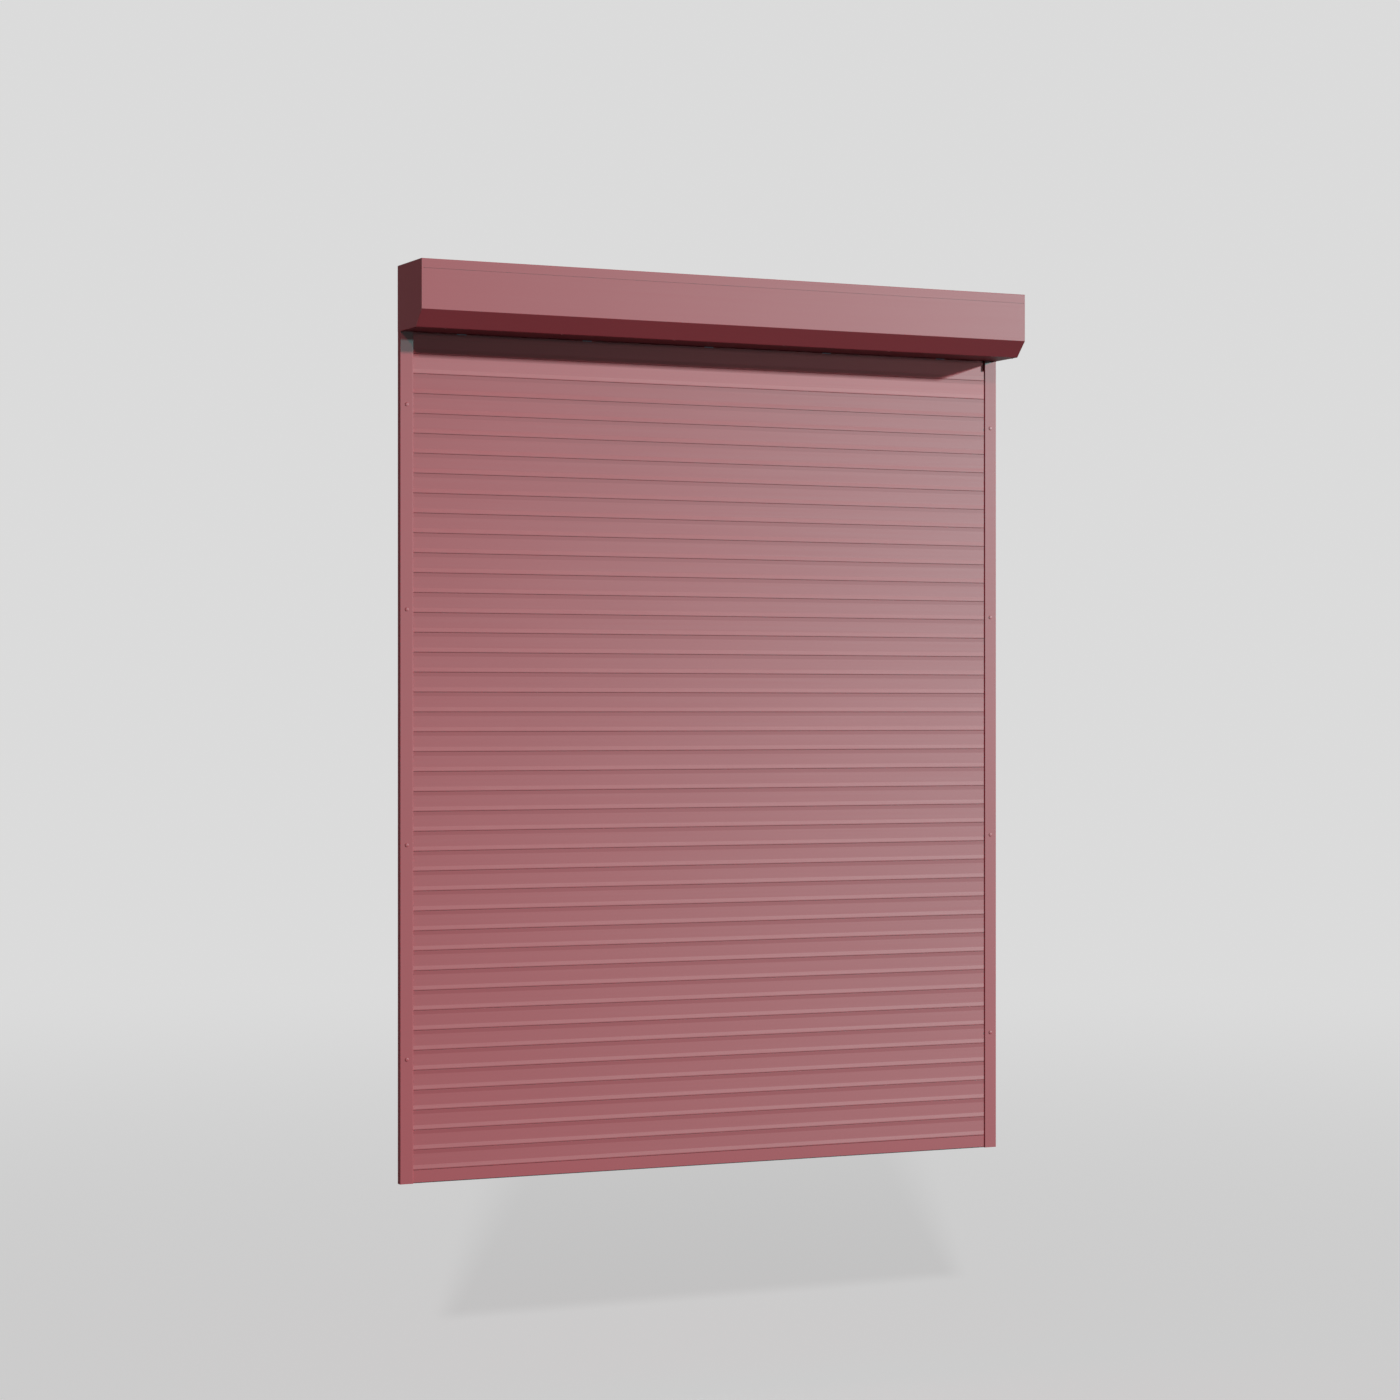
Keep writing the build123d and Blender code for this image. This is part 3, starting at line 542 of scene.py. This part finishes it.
class ShutterStudio(bpy.types.PropertyGroup):
    """Floor, backdrop, lamps and camera."""

    floor_drop: FloatProperty(
        name="Floor drop",
        description="How far the floor lies below the rails' feet",
        default=0.91,
        unit="LENGTH",
    )
    floor_radius: FloatProperty(
        name="Floor radius", description="Radius of the floor", default=70.0, unit="LENGTH"
    )
    fade_start: FloatProperty(
        name="Fade start", description="Where the floor starts to fade", default=2.0, unit="LENGTH"
    )
    fade_end: FloatProperty(
        name="Fade end", description="Where it has faded", default=21.0, unit="LENGTH"
    )
    floor_glow: FloatProperty(
        name="Floor glow", description="Even part of the floor's tone", default=0.48
    )
    floor_colour: FloatVectorProperty(
        name="Floor colour",
        description="Pale grey of the floor",
        default=(0.5, 0.5, 0.5),
        subtype="COLOR",
        size=3,
    )
    floor_bounce: FloatProperty(
        name="Floor bounce", description="Light that the floor throws back", default=0.03
    )
    backdrop_colour: FloatVectorProperty(
        name="Backdrop colour",
        description="Pale grey backdrop",
        default=(0.71, 0.71, 0.71),
        subtype="COLOR",
        size=3,
    )
    ambient: FloatProperty(
        name="Ambient", description="Strength of the surrounding light", default=0.125
    )
    key_strength: FloatProperty(
        name="Key strength", description="Strength of the key lamp", default=4.55
    )
    key_turn: FloatProperty(
        name="Key turn",
        description="Key lamp to the right of the front",
        default=math.radians(57),
        unit="ROTATION",
    )
    key_rise: FloatProperty(
        name="Key rise",
        description="Key lamp above the horizon",
        default=math.radians(14.5),
        unit="ROTATION",
    )
    fill_strength: FloatProperty(
        name="Fill strength", description="Strength of the fill lamp", default=0.7
    )
    floor_strength: FloatProperty(
        name="Floor strength",
        description="Strength of the lamp that lights the floor and throws the shadow",
        default=1.05,
    )
    fill_turn: FloatProperty(
        name="Fill turn",
        description="Fill lamp to the right of the front",
        default=math.radians(-25.6),
        unit="ROTATION",
    )
    fill_rise: FloatProperty(
        name="Fill rise",
        description="Fill lamp above the horizon",
        default=math.radians(25.3),
        unit="ROTATION",
    )
    floor_rise: FloatProperty(
        name="Floor lamp rise",
        description="Floor lamp above the horizon",
        default=math.radians(22),
        unit="ROTATION",
    )
    back_strength: FloatProperty(
        name="Back strength", description="Strength of the back lamp", default=1.6
    )
    back_turn: FloatProperty(
        name="Back turn",
        description="Back lamp to the right of the front",
        default=math.radians(160),
        unit="ROTATION",
    )
    back_rise: FloatProperty(
        name="Back rise",
        description="Back lamp above the horizon",
        default=math.radians(30),
        unit="ROTATION",
    )
    lamp_spread: FloatProperty(
        name="Lamp spread",
        description="Apparent size of key, fill and back lamp",
        default=math.radians(3),
        unit="ROTATION",
    )
    side_power: FloatProperty(
        name="Side gloss power",
        description="Power of the gloss lamp at the side",
        default=25500.0,
        unit="POWER",
    )
    side_turn: FloatProperty(
        name="Side gloss turn",
        description="Its heading to the right",
        default=math.radians(45),
        unit="ROTATION",
    )
    side_rise: FloatProperty(
        name="Side gloss rise",
        description="Its height above the horizon",
        default=math.radians(12),
        unit="ROTATION",
    )
    front_power: FloatProperty(
        name="Front gloss power",
        description="Power of the gloss lamp in front",
        default=3000.0,
        unit="POWER",
    )
    front_turn: FloatProperty(
        name="Front gloss turn",
        description="Its heading to the right",
        default=math.radians(10),
        unit="ROTATION",
    )
    front_rise: FloatProperty(
        name="Front gloss rise",
        description="Its height above the horizon",
        default=math.radians(4),
        unit="ROTATION",
    )
    slat_power: FloatProperty(
        name="Slat gloss power",
        description="Power of the gloss lamp for the slats",
        default=10900.0,
        unit="POWER",
    )
    slat_turn: FloatProperty(
        name="Slat gloss turn",
        description="Its heading to the right",
        default=math.radians(47.1),
        unit="ROTATION",
    )
    slat_rise: FloatProperty(
        name="Slat gloss rise",
        description="Its height above the horizon",
        default=math.radians(12.8),
        unit="ROTATION",
    )
    slat_distance: FloatProperty(
        name="Slat gloss distance",
        description="From the shutter's middle to it",
        default=7.2,
        unit="LENGTH",
    )
    top_power: FloatProperty(
        name="Top gloss power",
        description="Power of the side gloss on the top slats",
        default=88600.0,
        unit="POWER",
    )
    top_turn: FloatProperty(
        name="Top gloss turn",
        description="Its heading to the right",
        default=math.radians(58),
        unit="ROTATION",
    )
    top_rise: FloatProperty(
        name="Top gloss rise",
        description="Its height above the horizon",
        default=math.radians(18.7),
        unit="ROTATION",
    )
    shade_power: FloatProperty(
        name="Shade gloss power",
        description="Power of the weak gloss under the box",
        default=3450.0,
        unit="POWER",
    )
    shade_tint: FloatVectorProperty(
        name="Shade gloss tint",
        description="Warm colour of that lamp",
        default=(1.0, 0.4, 0.42),
        subtype="COLOR",
        size=3,
    )
    gloss_size: FloatProperty(
        name="Gloss size", description="Side of a gloss lamp", default=0.7, unit="LENGTH"
    )
    gloss_tint: FloatVectorProperty(
        name="Gloss tint",
        description="Cool colour of the gloss lamps",
        default=(0.62, 1.0, 1.0),
        subtype="COLOR",
        size=3,
    )
    lamp_distance: FloatProperty(
        name="Lamp distance",
        description="From the shutter's middle to the other lamps",
        default=20.0,
        unit="LENGTH",
    )
    camera_place: FloatVectorProperty(
        name="Camera place",
        description="Where the camera stands",
        default=(-5.909, -12.222, 1.822),
        subtype="XYZ",
        unit="LENGTH",
        size=3,
    )
    camera_turn: FloatProperty(
        name="Camera turn",
        description="Camera's heading, from +Y to +X",
        default=math.radians(25.436),
        unit="ROTATION",
    )
    lens: FloatProperty(
        name="Focal length", description="Focal length in millimetres", default=87.37
    )
    shift: FloatProperty(name="Shift", description="Upward shift of the picture", default=0.0086)


SETTINGS = {
    "shutter_paint": ShutterPaint,
    "shutter_metal": ShutterMetal,
    "shutter_fittings": ShutterFittings,
    "shutter_studio": ShutterStudio,
}

COATED_STRIP = ["top_panel", "back_panel", "inspection_cover"]
COATED_BAR = ["guide_rail_left", "guide_rail_right", "bottom_bar"]
CAST = ["end_cap_left", "end_cap_right"]
COATED_SCREWS = ["box_screws", "cover_screws"]
ZINC_SMALL = ["cover_nuts", "bracket_screws", "idler_pin", "output_shaft"]
ZINC_SMALL += ["limit_screw_up", "limit_screw_down"]
ZINC_LARGE = ["roller_tube", "bearing_bracket", "motor_bracket", "motor_body"]
BLACK = ["motor_head", "motor_crown", "drive_wheel", "idler_plug"]
BLACK += ["guide_funnel_left", "guide_funnel_right", "guide_roller_left", "guide_roller_right"]
BLACK += ["slat_end_locks", "bar_end_caps", "rail_foot_plugs"]
SEALS = ["rail_seals_left", "rail_seals_right", "bottom_seal", "cable_grommet"]

# These throw no shadow of the front lamps, so that the curtain's right edge stays light
LIT_THROUGH = ("guide_rail_right", "rail_seals_right")

# Grain size, grain depth and strength of the rolling lines
PAINT_SKINS = {
    "coated_strip": (1.6 * MM, 0.01 * MM, 0.04),
    # This finish is the same coat with painted shade, darker because the underside lies in shade.
    "coated_underside": (1.6 * MM, 0.01 * MM, 0.04),
    "coated_slat": (1.2 * MM, 0.008 * MM, 0.06),
    "coated_bar": (1.0 * MM, 0.012 * MM, 0.03),
    "coated_casting": (0.7 * MM, 0.03 * MM, 0.0),
    "coated_screw": (0.3 * MM, 0.01 * MM, 0.0),
}

# Colour, roughness, grain size and grain depth
MOULDINGS = {
    "black_moulding": ((0.028, 0.028, 0.03), 0.48, 0.5 * MM, 0.02 * MM),
    "bush_moulding": ((0.5, 0.49, 0.45), 0.42, 0.5 * MM, 0.01 * MM),
    "black_rubber": ((0.018, 0.018, 0.019), 0.7, 0.4 * MM, 0.03 * MM),
}

PLUG_ROUGHNESS = 0.5
PLUG_GRAIN = (0.6 * MM, 0.01 * MM)
PLUG_ARC_STEPS = 6
PLUG_CROWN = 0.35
PLUG_SPACING = 0.05
STRAP_SPACING = 0.1
STRAP_STEPS = 24
FLOOR_SEGMENTS = 96
SENSOR_WIDTH = 36.0
VIEW_END = 200.0


# Operators, one for each piece or group of like pieces


class SHUTTER_OT_finishes(bpy.types.Operator):
    """Make the node groups and materials, and give every CAD node its finish"""

    bl_idname = "shutter.finishes"
    bl_label = "Finishes"

    def execute(self, context):
        paint = context.scene.shutter_paint
        metal = context.scene.shutter_metal
        tonal_drift_group()
        fine_grain_group()
        rolling_lines_group()
        settled_dust_group()
        zinc_spangle_group()
        finishes = {}
        for name, skin in PAINT_SKINS.items():
            finishes[name] = paint_material(
                name,
                paint,
                skin,
                paint.slat_roughness if name == "coated_slat" else paint.roughness,
                # The underside's finish gets its colour darkened as painted shade.
                depth=paint.underside_painted_shade if name == "coated_underside" else 1.0,
                matt_dust=paint.matt_dust if name == "coated_strip" else 0.0,
            )
        zincs = {
            "zinc_plate": (metal.zinc, 0.4 * MM, 0.1, 0.32),
            "zinc_spangled": (metal.zinc, metal.crystal, 0.22, 0.38),
            "spring_steel": (metal.spring, 1.5 * MM, 0.25, 0.34),
        }
        for name, (colour, crystal, contrast, roughness) in zincs.items():
            finishes[name] = zinc_material(name, colour, crystal, contrast, roughness)
        for name, (colour, roughness, grain_size, grain_depth) in MOULDINGS.items():
            finishes[name] = moulded_material(name, colour, roughness, grain_size, grain_depth)
        finishes["coated_plug"] = moulded_material(
            "coated_plug", paint.colour, PLUG_ROUGHNESS, *PLUG_GRAIN, gloss=paint.gloss
        )
        slats = [name for name in nodes if name.startswith("slats_")]
        given = {
            "coated_strip": COATED_STRIP,
            # The bottom panel takes the coat with painted shade.
            "coated_underside": ["bottom_panel"],
            "coated_slat": slats,
            "coated_bar": COATED_BAR,
            "coated_casting": CAST,
            "coated_screw": COATED_SCREWS,
            "zinc_plate": ZINC_SMALL,
            "zinc_spangled": ZINC_LARGE,
            "spring_steel": ["hanger_straps"],
            "black_moulding": BLACK,
            "bush_moulding": ["bearing_bush"],
            "coated_plug": ["hole_plugs"],
            "black_rubber": SEALS,
        }
        dressed = {name: finish for finish, names in given.items() for name in names}
        bare = sorted(set(nodes) - set(dressed))
        if bare:
            raise RuntimeError(f"no finish for {bare}")
        for name, finish in dressed.items():
            mesh = nodes[name].data
            mesh.materials.clear()
            mesh.materials.append(finishes[finish])
        return {"FINISHED"}


class SHUTTER_OT_hole_plugs(bpy.types.Operator):
    """Model the domed plugs over the rails' access holes"""

    bl_idname = "shutter.hole_plugs"
    bl_label = "Hole plugs"

    def execute(self, context):
        sizes = context.scene.shutter_fittings
        low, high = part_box("hole_plugs")
        rail_low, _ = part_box("guide_rail_left")
        rise = rail_low.y - low.y
        rim = sizes.plug_radius
        dome = []
        for step in range(PLUG_ARC_STEPS + 1):
            a = step / PLUG_ARC_STEPS * math.pi / 2
            along = sizes.plug_lip + (rise - sizes.plug_lip) * math.sin(a)
            dome.append((along, rim * (PLUG_CROWN + (1 - PLUG_CROWN) * math.cos(a))))
        profile = [(0.0, rim), *dome, (rise, 0.0)]
        bm = bmesh.new()
        for start, end in clusters("hole_plugs", 2, PLUG_SPACING):
            for x in (low.x + rim, high.x - rim):
                foot = Vector((x, rail_low.y, (start + end) / 2))
                turned(bm, profile, foot, (0, -1, 0), sizes.plug_steps)
        tidy(bm)
        open_rims = [edge for edge in bm.edges if edge.is_boundary]
        bmesh.ops.holes_fill(bm, edges=open_rims, sides=0)
        bmesh.ops.recalc_face_normals(bm, faces=bm.faces)
        coat = bpy.data.materials["coated_plug"]
        plugs = make_piece(bm, "hole_plug_caps", coat, "frame")
        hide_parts("hole_plugs")
        return {"FINISHED"}


class SHUTTER_OT_hanger_straps(bpy.types.Operator):
    """Model the spring steel straps: wound ends that turn with the tube, free ends on the frame"""

    bl_idname = "shutter.hanger_straps"
    bl_label = "Hanger straps"

    def execute(self, context):
        sizes = context.scene.shutter_fittings
        tube_low, tube_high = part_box("roller_tube")
        straps_low, straps_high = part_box("hanger_straps")
        middle = Vector((0, 0, (tube_low.z + tube_high.z) / 2))
        radius = (tube_high.z - tube_low.z) / 2 + sizes.strap_gap
        clip = Vector((0, straps_high.y - sizes.clip_width / 2, straps_low.z + sizes.clip_height))
        reach = clip - middle
        turn = math.atan2(reach.z, reach.y) + math.acos(radius / reach.length)
        touch = middle + radius * Vector((0, math.cos(turn), math.sin(turn)))
        steel = bpy.data.materials["spring_steel"]
        wound, free = bmesh.new(), bmesh.new()
        for start, end in clusters("hanger_straps", 0, STRAP_SPACING):
            offset = Vector((start, 0, 0))
            width = Vector((end - start, 0, 0))
            self.wind(wound, touch + offset, middle, width, sizes)
            self.hang(free, touch + offset, clip + offset, width, sizes)
        tidy(wound)
        bmesh.ops.solidify(wound, geom=wound.faces, thickness=sizes.strap_wall)
        tidy(wound)
        make_piece(wound, "wound_strap_ends", steel, "roller")
        tidy(free)
        straps = make_piece(free, "free_strap_ends", steel, "frame")
        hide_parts("hanger_straps")
        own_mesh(straps)
        return {"FINISHED"}

    def wind(self, bm, touch, middle, width, sizes):
        """Spin one edge back round the tube."""
        pair = [bm.verts.new(touch), bm.verts.new(touch + width)]
        edge = bm.edges.new(pair)
        bmesh.ops.spin(
            bm,
            geom=[*pair, edge],
            cent=middle,
            axis=(1, 0, 0),
            angle=sizes.strap_wrap,
            steps=STRAP_STEPS,
        )

    def hang(self, bm, touch, clip, width, sizes):
        """Draw the flat part down to the clip, and the clip that grips the hook of the top slat."""
        half = sizes.clip_width / 2
        wall = sizes.clip_wall
        across = (clip - touch).cross(width).normalized() * sizes.strap_wall
        corners = [touch, clip, clip + across, touch + across]
        self.bar(bm, corners, width)
        for left in (-half, half - wall):
            low = clip + Vector((0, left, -sizes.clip_height))
            side = Vector((0, wall, 0))
            rise = Vector((0, 0, sizes.clip_height))
            self.bar(bm, [low, low + side, low + side + rise, low + rise], width)
        top = clip + Vector((0, wall - half, -wall))
        across_top = Vector((0, 2 * (half - wall), 0))
        rise = Vector((0, 0, wall))
        self.bar(bm, [top, top + across_top, top + across_top + rise, top + rise], width)

    def bar(self, bm, corners, width):
        """Extrude a four-cornered section by a width."""
        face = bm.faces.new([bm.verts.new(corner) for corner in corners])
        made = bmesh.ops.extrude_face_region(bm, geom=[face])
        moved = [item for item in made["geom"] if isinstance(item, bmesh.types.BMVert)]
        bmesh.ops.translate(bm, verts=moved, vec=width)


class SHUTTER_OT_cable_grommet(bpy.types.Operator):
    """Model the closed cable grommet with its ribbed membrane"""

    bl_idname = "shutter.cable_grommet"
    bl_label = "Cable grommet"

    def execute(self, context):
        sizes = context.scene.shutter_fittings
        low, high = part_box("cable_grommet")
        middle = centre_of("cable_grommet")
        middle.x = 0
        flange = (high.y - low.y) / 2
        neck = flange * sizes.grommet_neck
        depth = high.x - low.x
        edge = sizes.grommet_edge
        brim = low.x + depth / 5
        membrane = low.x + depth * 0.3
        rib = depth / 8
        ring = (neck - edge) / (sizes.grommet_rings + 1)
        foot, peak, back = ring / 3, ring / 2, ring * 0.8
        profile = [(low.x, 0.0), (low.x, flange - edge), (low.x + edge, flange), (brim, flange)]
        profile += [(brim + edge, neck), (high.x - edge, neck), (high.x, neck - edge)]
        profile.append((high.x, neck - 2 * edge))
        for number in range(sizes.grommet_rings):
            far = neck - 3 * edge - ring * number
            profile += [(membrane, far), (membrane, far - foot)]
            profile += [(membrane + rib, far - peak), (membrane + rib, far - back)]
        profile.append((membrane, 0.0))
        bm = bmesh.new()
        turned(bm, profile, middle, (1, 0, 0), sizes.grommet_steps)
        tidy(bm)
        rubber = bpy.data.materials["black_rubber"]
        grommet = make_piece(bm, "ribbed_grommet", rubber, "frame")
        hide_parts("cable_grommet")
        return {"FINISHED"}


class SHUTTER_OT_studio(bpy.types.Operator):
    """Lay the floor, light the backdrop and set up the lamps"""

    bl_idname = "shutter.studio"
    bl_label = "Studio"

    def execute(self, context):
        studio = context.scene.shutter_studio
        context.scene.view_settings.view_transform = "Standard"
        floor = self.floor(studio)
        self.surroundings(context, studio)
        pieces = [p for p in context.scene.objects if p.type == "MESH" and p.name != "floor"]
        coated = [p for p in pieces if p.data.materials[0].name.startswith("coated")]
        slats = [p for p in coated if p.name.startswith("slats_")]
        slats.sort(key=lambda p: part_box(p.name)[0].z)
        smooth = [p for p in coated if p not in slats]
        opaque = [p for p in pieces if not p.name.startswith(LIT_THROUGH)]
        lit = self.collect("lit_pieces", pieces)
        shading = self.collect("shading_pieces", opaque)
        far = studio.lamp_distance
        near = studio.slat_distance
        key = self.sun(
            "key_lamp", studio.key_turn, studio.key_rise, studio.key_strength, studio
        )
        fill = self.sun(
            "fill_lamp", studio.fill_turn, studio.fill_rise, studio.fill_strength, studio
        )
        back = self.sun(
            "back_lamp", studio.back_turn, studio.back_rise, studio.back_strength, studio
        )
        back.visible_glossy = False
        ground = self.sun(
            "floor_lamp", studio.fill_turn, studio.floor_rise, studio.floor_strength, studio
        )
        side = self.gloss_lamp(
            "side_gloss_lamp", studio.side_turn, studio.side_rise, studio.side_power, far, studio
        )
        front = self.gloss_lamp(
            "front_gloss_lamp",
            studio.front_turn,
            studio.front_rise,
            studio.front_power,
            far,
            studio,
        )
        slat = self.gloss_lamp(
            "slat_gloss_lamp", studio.slat_turn, studio.slat_rise, studio.slat_power, near, studio
        )
        top = self.gloss_lamp(
            "top_gloss_lamp", studio.top_turn, studio.top_rise, studio.top_power, far, studio
        )
        shade = self.gloss_lamp(
            "shade_gloss_lamp", studio.slat_turn, studio.slat_rise, studio.shade_power, near, studio
        )
        shade.data.color = studio.shade_tint
        for lamp in (key, fill, back):
            lamp.light_linking.receiver_collection = lit
        for lamp in (key, fill, side, slat, top, shade):
            lamp.light_linking.blocker_collection = shading
        ground.light_linking.receiver_collection = self.collect("floor_alone", [floor])
        front.light_linking.receiver_collection = self.collect("coated_pieces", coated)
        side.light_linking.receiver_collection = self.collect("smooth_pieces", smooth)
        slat.light_linking.receiver_collection = self.collect("open_slats", slats[:-1])
        below_box = self.collect("top_slats", slats[-1:])
        top.light_linking.receiver_collection = below_box
        shade.light_linking.receiver_collection = below_box
        return {"FINISHED"}

    def floor(self, studio):
        """A pale round floor that keeps the shutter's shadow and fades into the backdrop."""
        bm = bmesh.new()
        radius = studio.floor_radius
        bmesh.ops.create_circle(bm, cap_ends=True, segments=FLOOR_SEGMENTS, radius=radius)
        bmesh.ops.translate(bm, verts=bm.verts, vec=(0, 0, -studio.floor_drop))
        mesh = bpy.data.meshes.new("floor")
        bm.to_mesh(mesh)
        bm.free()
        material, tree, shader = new_material("pale_floor", Roughness=0.9, Specular_IOR_Level=0.0)
        shader.inputs["Base Color"].default_value = (*studio.floor_colour, 1)
        glow = add_node(tree, "ShaderNodeEmission", Color=(1, 1, 1, 1), Strength=studio.floor_glow)
        lit = tree.nodes.new("ShaderNodeAddShader")
        tree.links.new(shader.outputs["BSDF"], lit.inputs[0])
        tree.links.new(glow.outputs["Emission"], lit.inputs[1])
        place = tree.nodes.new("ShaderNodeTexCoord").outputs["Object"]
        reach = tree.nodes.new("ShaderNodeVectorMath")
        reach.operation = "LENGTH"
        tree.links.new(place, reach.inputs[0])
        fade = tree.nodes.new("ShaderNodeMapRange")
        fade.interpolation_type = "SMOOTHSTEP"
        fade.inputs["From Min"].default_value = studio.fade_start
        fade.inputs["From Max"].default_value = studio.fade_end
        tree.links.new(reach.outputs["Value"], fade.inputs["Value"])
        far = add_node(tree, "ShaderNodeEmission", Color=(*studio.backdrop_colour, 1))
        near, blend = lit.outputs["Shader"], fade.outputs["Result"]
        near_far = self.mixed(tree, blend, near, far.outputs["Emission"])
        bounce = add_node(tree, "ShaderNodeBsdfDiffuse", Color=(*[studio.floor_bounce] * 3, 1))
        seen = self.mixed(tree, self.shown(tree), bounce.outputs["BSDF"], near_far)
        tree.links.new(seen, tree.nodes["Material Output"].inputs["Surface"])
        mesh.materials.append(material)
        floor = bpy.data.objects.new("floor", mesh)
        bpy.context.scene.collection.objects.link(floor)
        return floor

    def shown(self, tree):
        """One for what camera, gloss and glass see, and zero for the light that falls on things."""
        path = tree.nodes.new("ShaderNodeLightPath")
        seen = path.outputs["Is Camera Ray"]
        for ray in ("Is Glossy Ray", "Is Transmission Ray"):
            seen = math_node(tree, "MAXIMUM", seen, path.outputs[ray])
        return seen

    def mixed(self, tree, mask, first, second):
        """Mix two shaders by a mask."""
        mix = tree.nodes.new("ShaderNodeMixShader")
        for socket, source in zip(mix.inputs, (mask, first, second)):
            tree.links.new(source, socket)
        return mix.outputs["Shader"]

    def surroundings(self, context, studio):
        """The backdrop that camera and gloss see, and the weaker light that the shutter gets."""
        world = bpy.data.worlds.new("studio_air")
        context.scene.world = world
        world.use_nodes = True
        tree = world.node_tree
        tree.nodes.clear()
        seen = add_node(tree, "ShaderNodeBackground", Color=(*studio.backdrop_colour, 1))
        lit = add_node(tree, "ShaderNodeBackground", Color=(1, 1, 1, 1), Strength=studio.ambient)
        fill, view = lit.outputs["Background"], seen.outputs["Background"]
        shader = self.mixed(tree, self.shown(tree), fill, view)
        output = tree.nodes.new("ShaderNodeOutputWorld")
        tree.links.new(shader, output.inputs["Surface"])

    def collect(self, name, pieces):
        """A collection of pieces, for a lamp's links."""
        made = bpy.data.collections.new(name)
        for piece in pieces:
            made.objects.link(piece)
        return made

    def stand(self, light, turn, rise, distance):
        """Stand a lamp at a heading, height and distance, looking at the shutter's middle."""
        level = math.cos(rise)
        away = Vector((math.sin(turn) * level, -math.cos(turn) * level, math.sin(rise)))
        lamp = bpy.data.objects.new(light.name, light)
        lamp.location = (cad_low + cad_high) / 2 + away * distance
        lamp.rotation_euler = away.to_track_quat("Z", "Y").to_euler()
        bpy.context.scene.collection.objects.link(lamp)
        return lamp

    def sun(self, name, turn, rise, strength, studio):
        """A lamp whose light is even over shutter and floor."""
        light = bpy.data.lights.new(name, "SUN")
        light.energy = strength
        light.angle = studio.lamp_spread
        return self.stand(light, turn, rise, studio.lamp_distance)

    def gloss_lamp(self, name, turn, rise, power, distance, studio):
        """A lamp that only the paint's gloss sees."""
        light = bpy.data.lights.new(name, "AREA")
        light.energy = power
        light.size = studio.gloss_size
        light.color = studio.gloss_tint
        lamp = self.stand(light, turn, rise, distance)
        lamp.visible_diffuse = False
        lamp.visible_camera = False
        return lamp


class SHUTTER_OT_camera(bpy.types.Operator):
    """Stand the camera where the photograph was taken"""

    bl_idname = "shutter.camera"
    bl_label = "Camera"

    def execute(self, context):
        studio = context.scene.shutter_studio
        data = bpy.data.cameras.new("camera")
        data.sensor_width = SENSOR_WIDTH
        data.lens = studio.lens
        data.shift_y = studio.shift
        data.clip_end = VIEW_END
        camera = bpy.data.objects.new("camera", data)
        camera.location = studio.camera_place
        camera.rotation_euler = (math.pi / 2, 0, -studio.camera_turn)
        context.scene.collection.objects.link(camera)
        context.scene.camera = camera
        return {"FINISHED"}


OPERATORS = (
    SHUTTER_OT_finishes,
    SHUTTER_OT_hole_plugs,
    SHUTTER_OT_hanger_straps,
    SHUTTER_OT_cable_grommet,
    SHUTTER_OT_studio,
    SHUTTER_OT_camera,
)


class SHUTTER_PT_panel(bpy.types.Panel):
    """The settings and steps of the roller shutter"""

    bl_idname = "SHUTTER_PT_panel"
    bl_label = "Roller shutter"
    bl_space_type = "VIEW_3D"
    bl_region_type = "UI"
    bl_category = "Shutter"

    def draw(self, context):
        for operator in OPERATORS:
            self.layout.operator(operator.bl_idname)
        for attribute, group in SETTINGS.items():
            box = self.layout.box()
            for name in group.__annotations__:
                box.prop(getattr(context.scene, attribute), name)


def register():
    for group in SETTINGS.values():
        bpy.utils.register_class(group)
    for operator in OPERATORS:
        bpy.utils.register_class(operator)
    bpy.utils.register_class(SHUTTER_PT_panel)
    for attribute, group in SETTINGS.items():
        setattr(bpy.types.Scene, attribute, PointerProperty(type=group))


def unregister():
    for attribute in SETTINGS:
        delattr(bpy.types.Scene, attribute)
    bpy.utils.unregister_class(SHUTTER_PT_panel)
    for operator in reversed(OPERATORS):
        bpy.utils.unregister_class(operator)
    for group in reversed(SETTINGS.values()):
        bpy.utils.unregister_class(group)


def main():
    """Register everything and run the operators in order."""
    register()
    for operator in OPERATORS:
        area, name = operator.bl_idname.split(".")
        getattr(getattr(bpy.ops, area), name)()


if __name__ == "__main__":
    main()
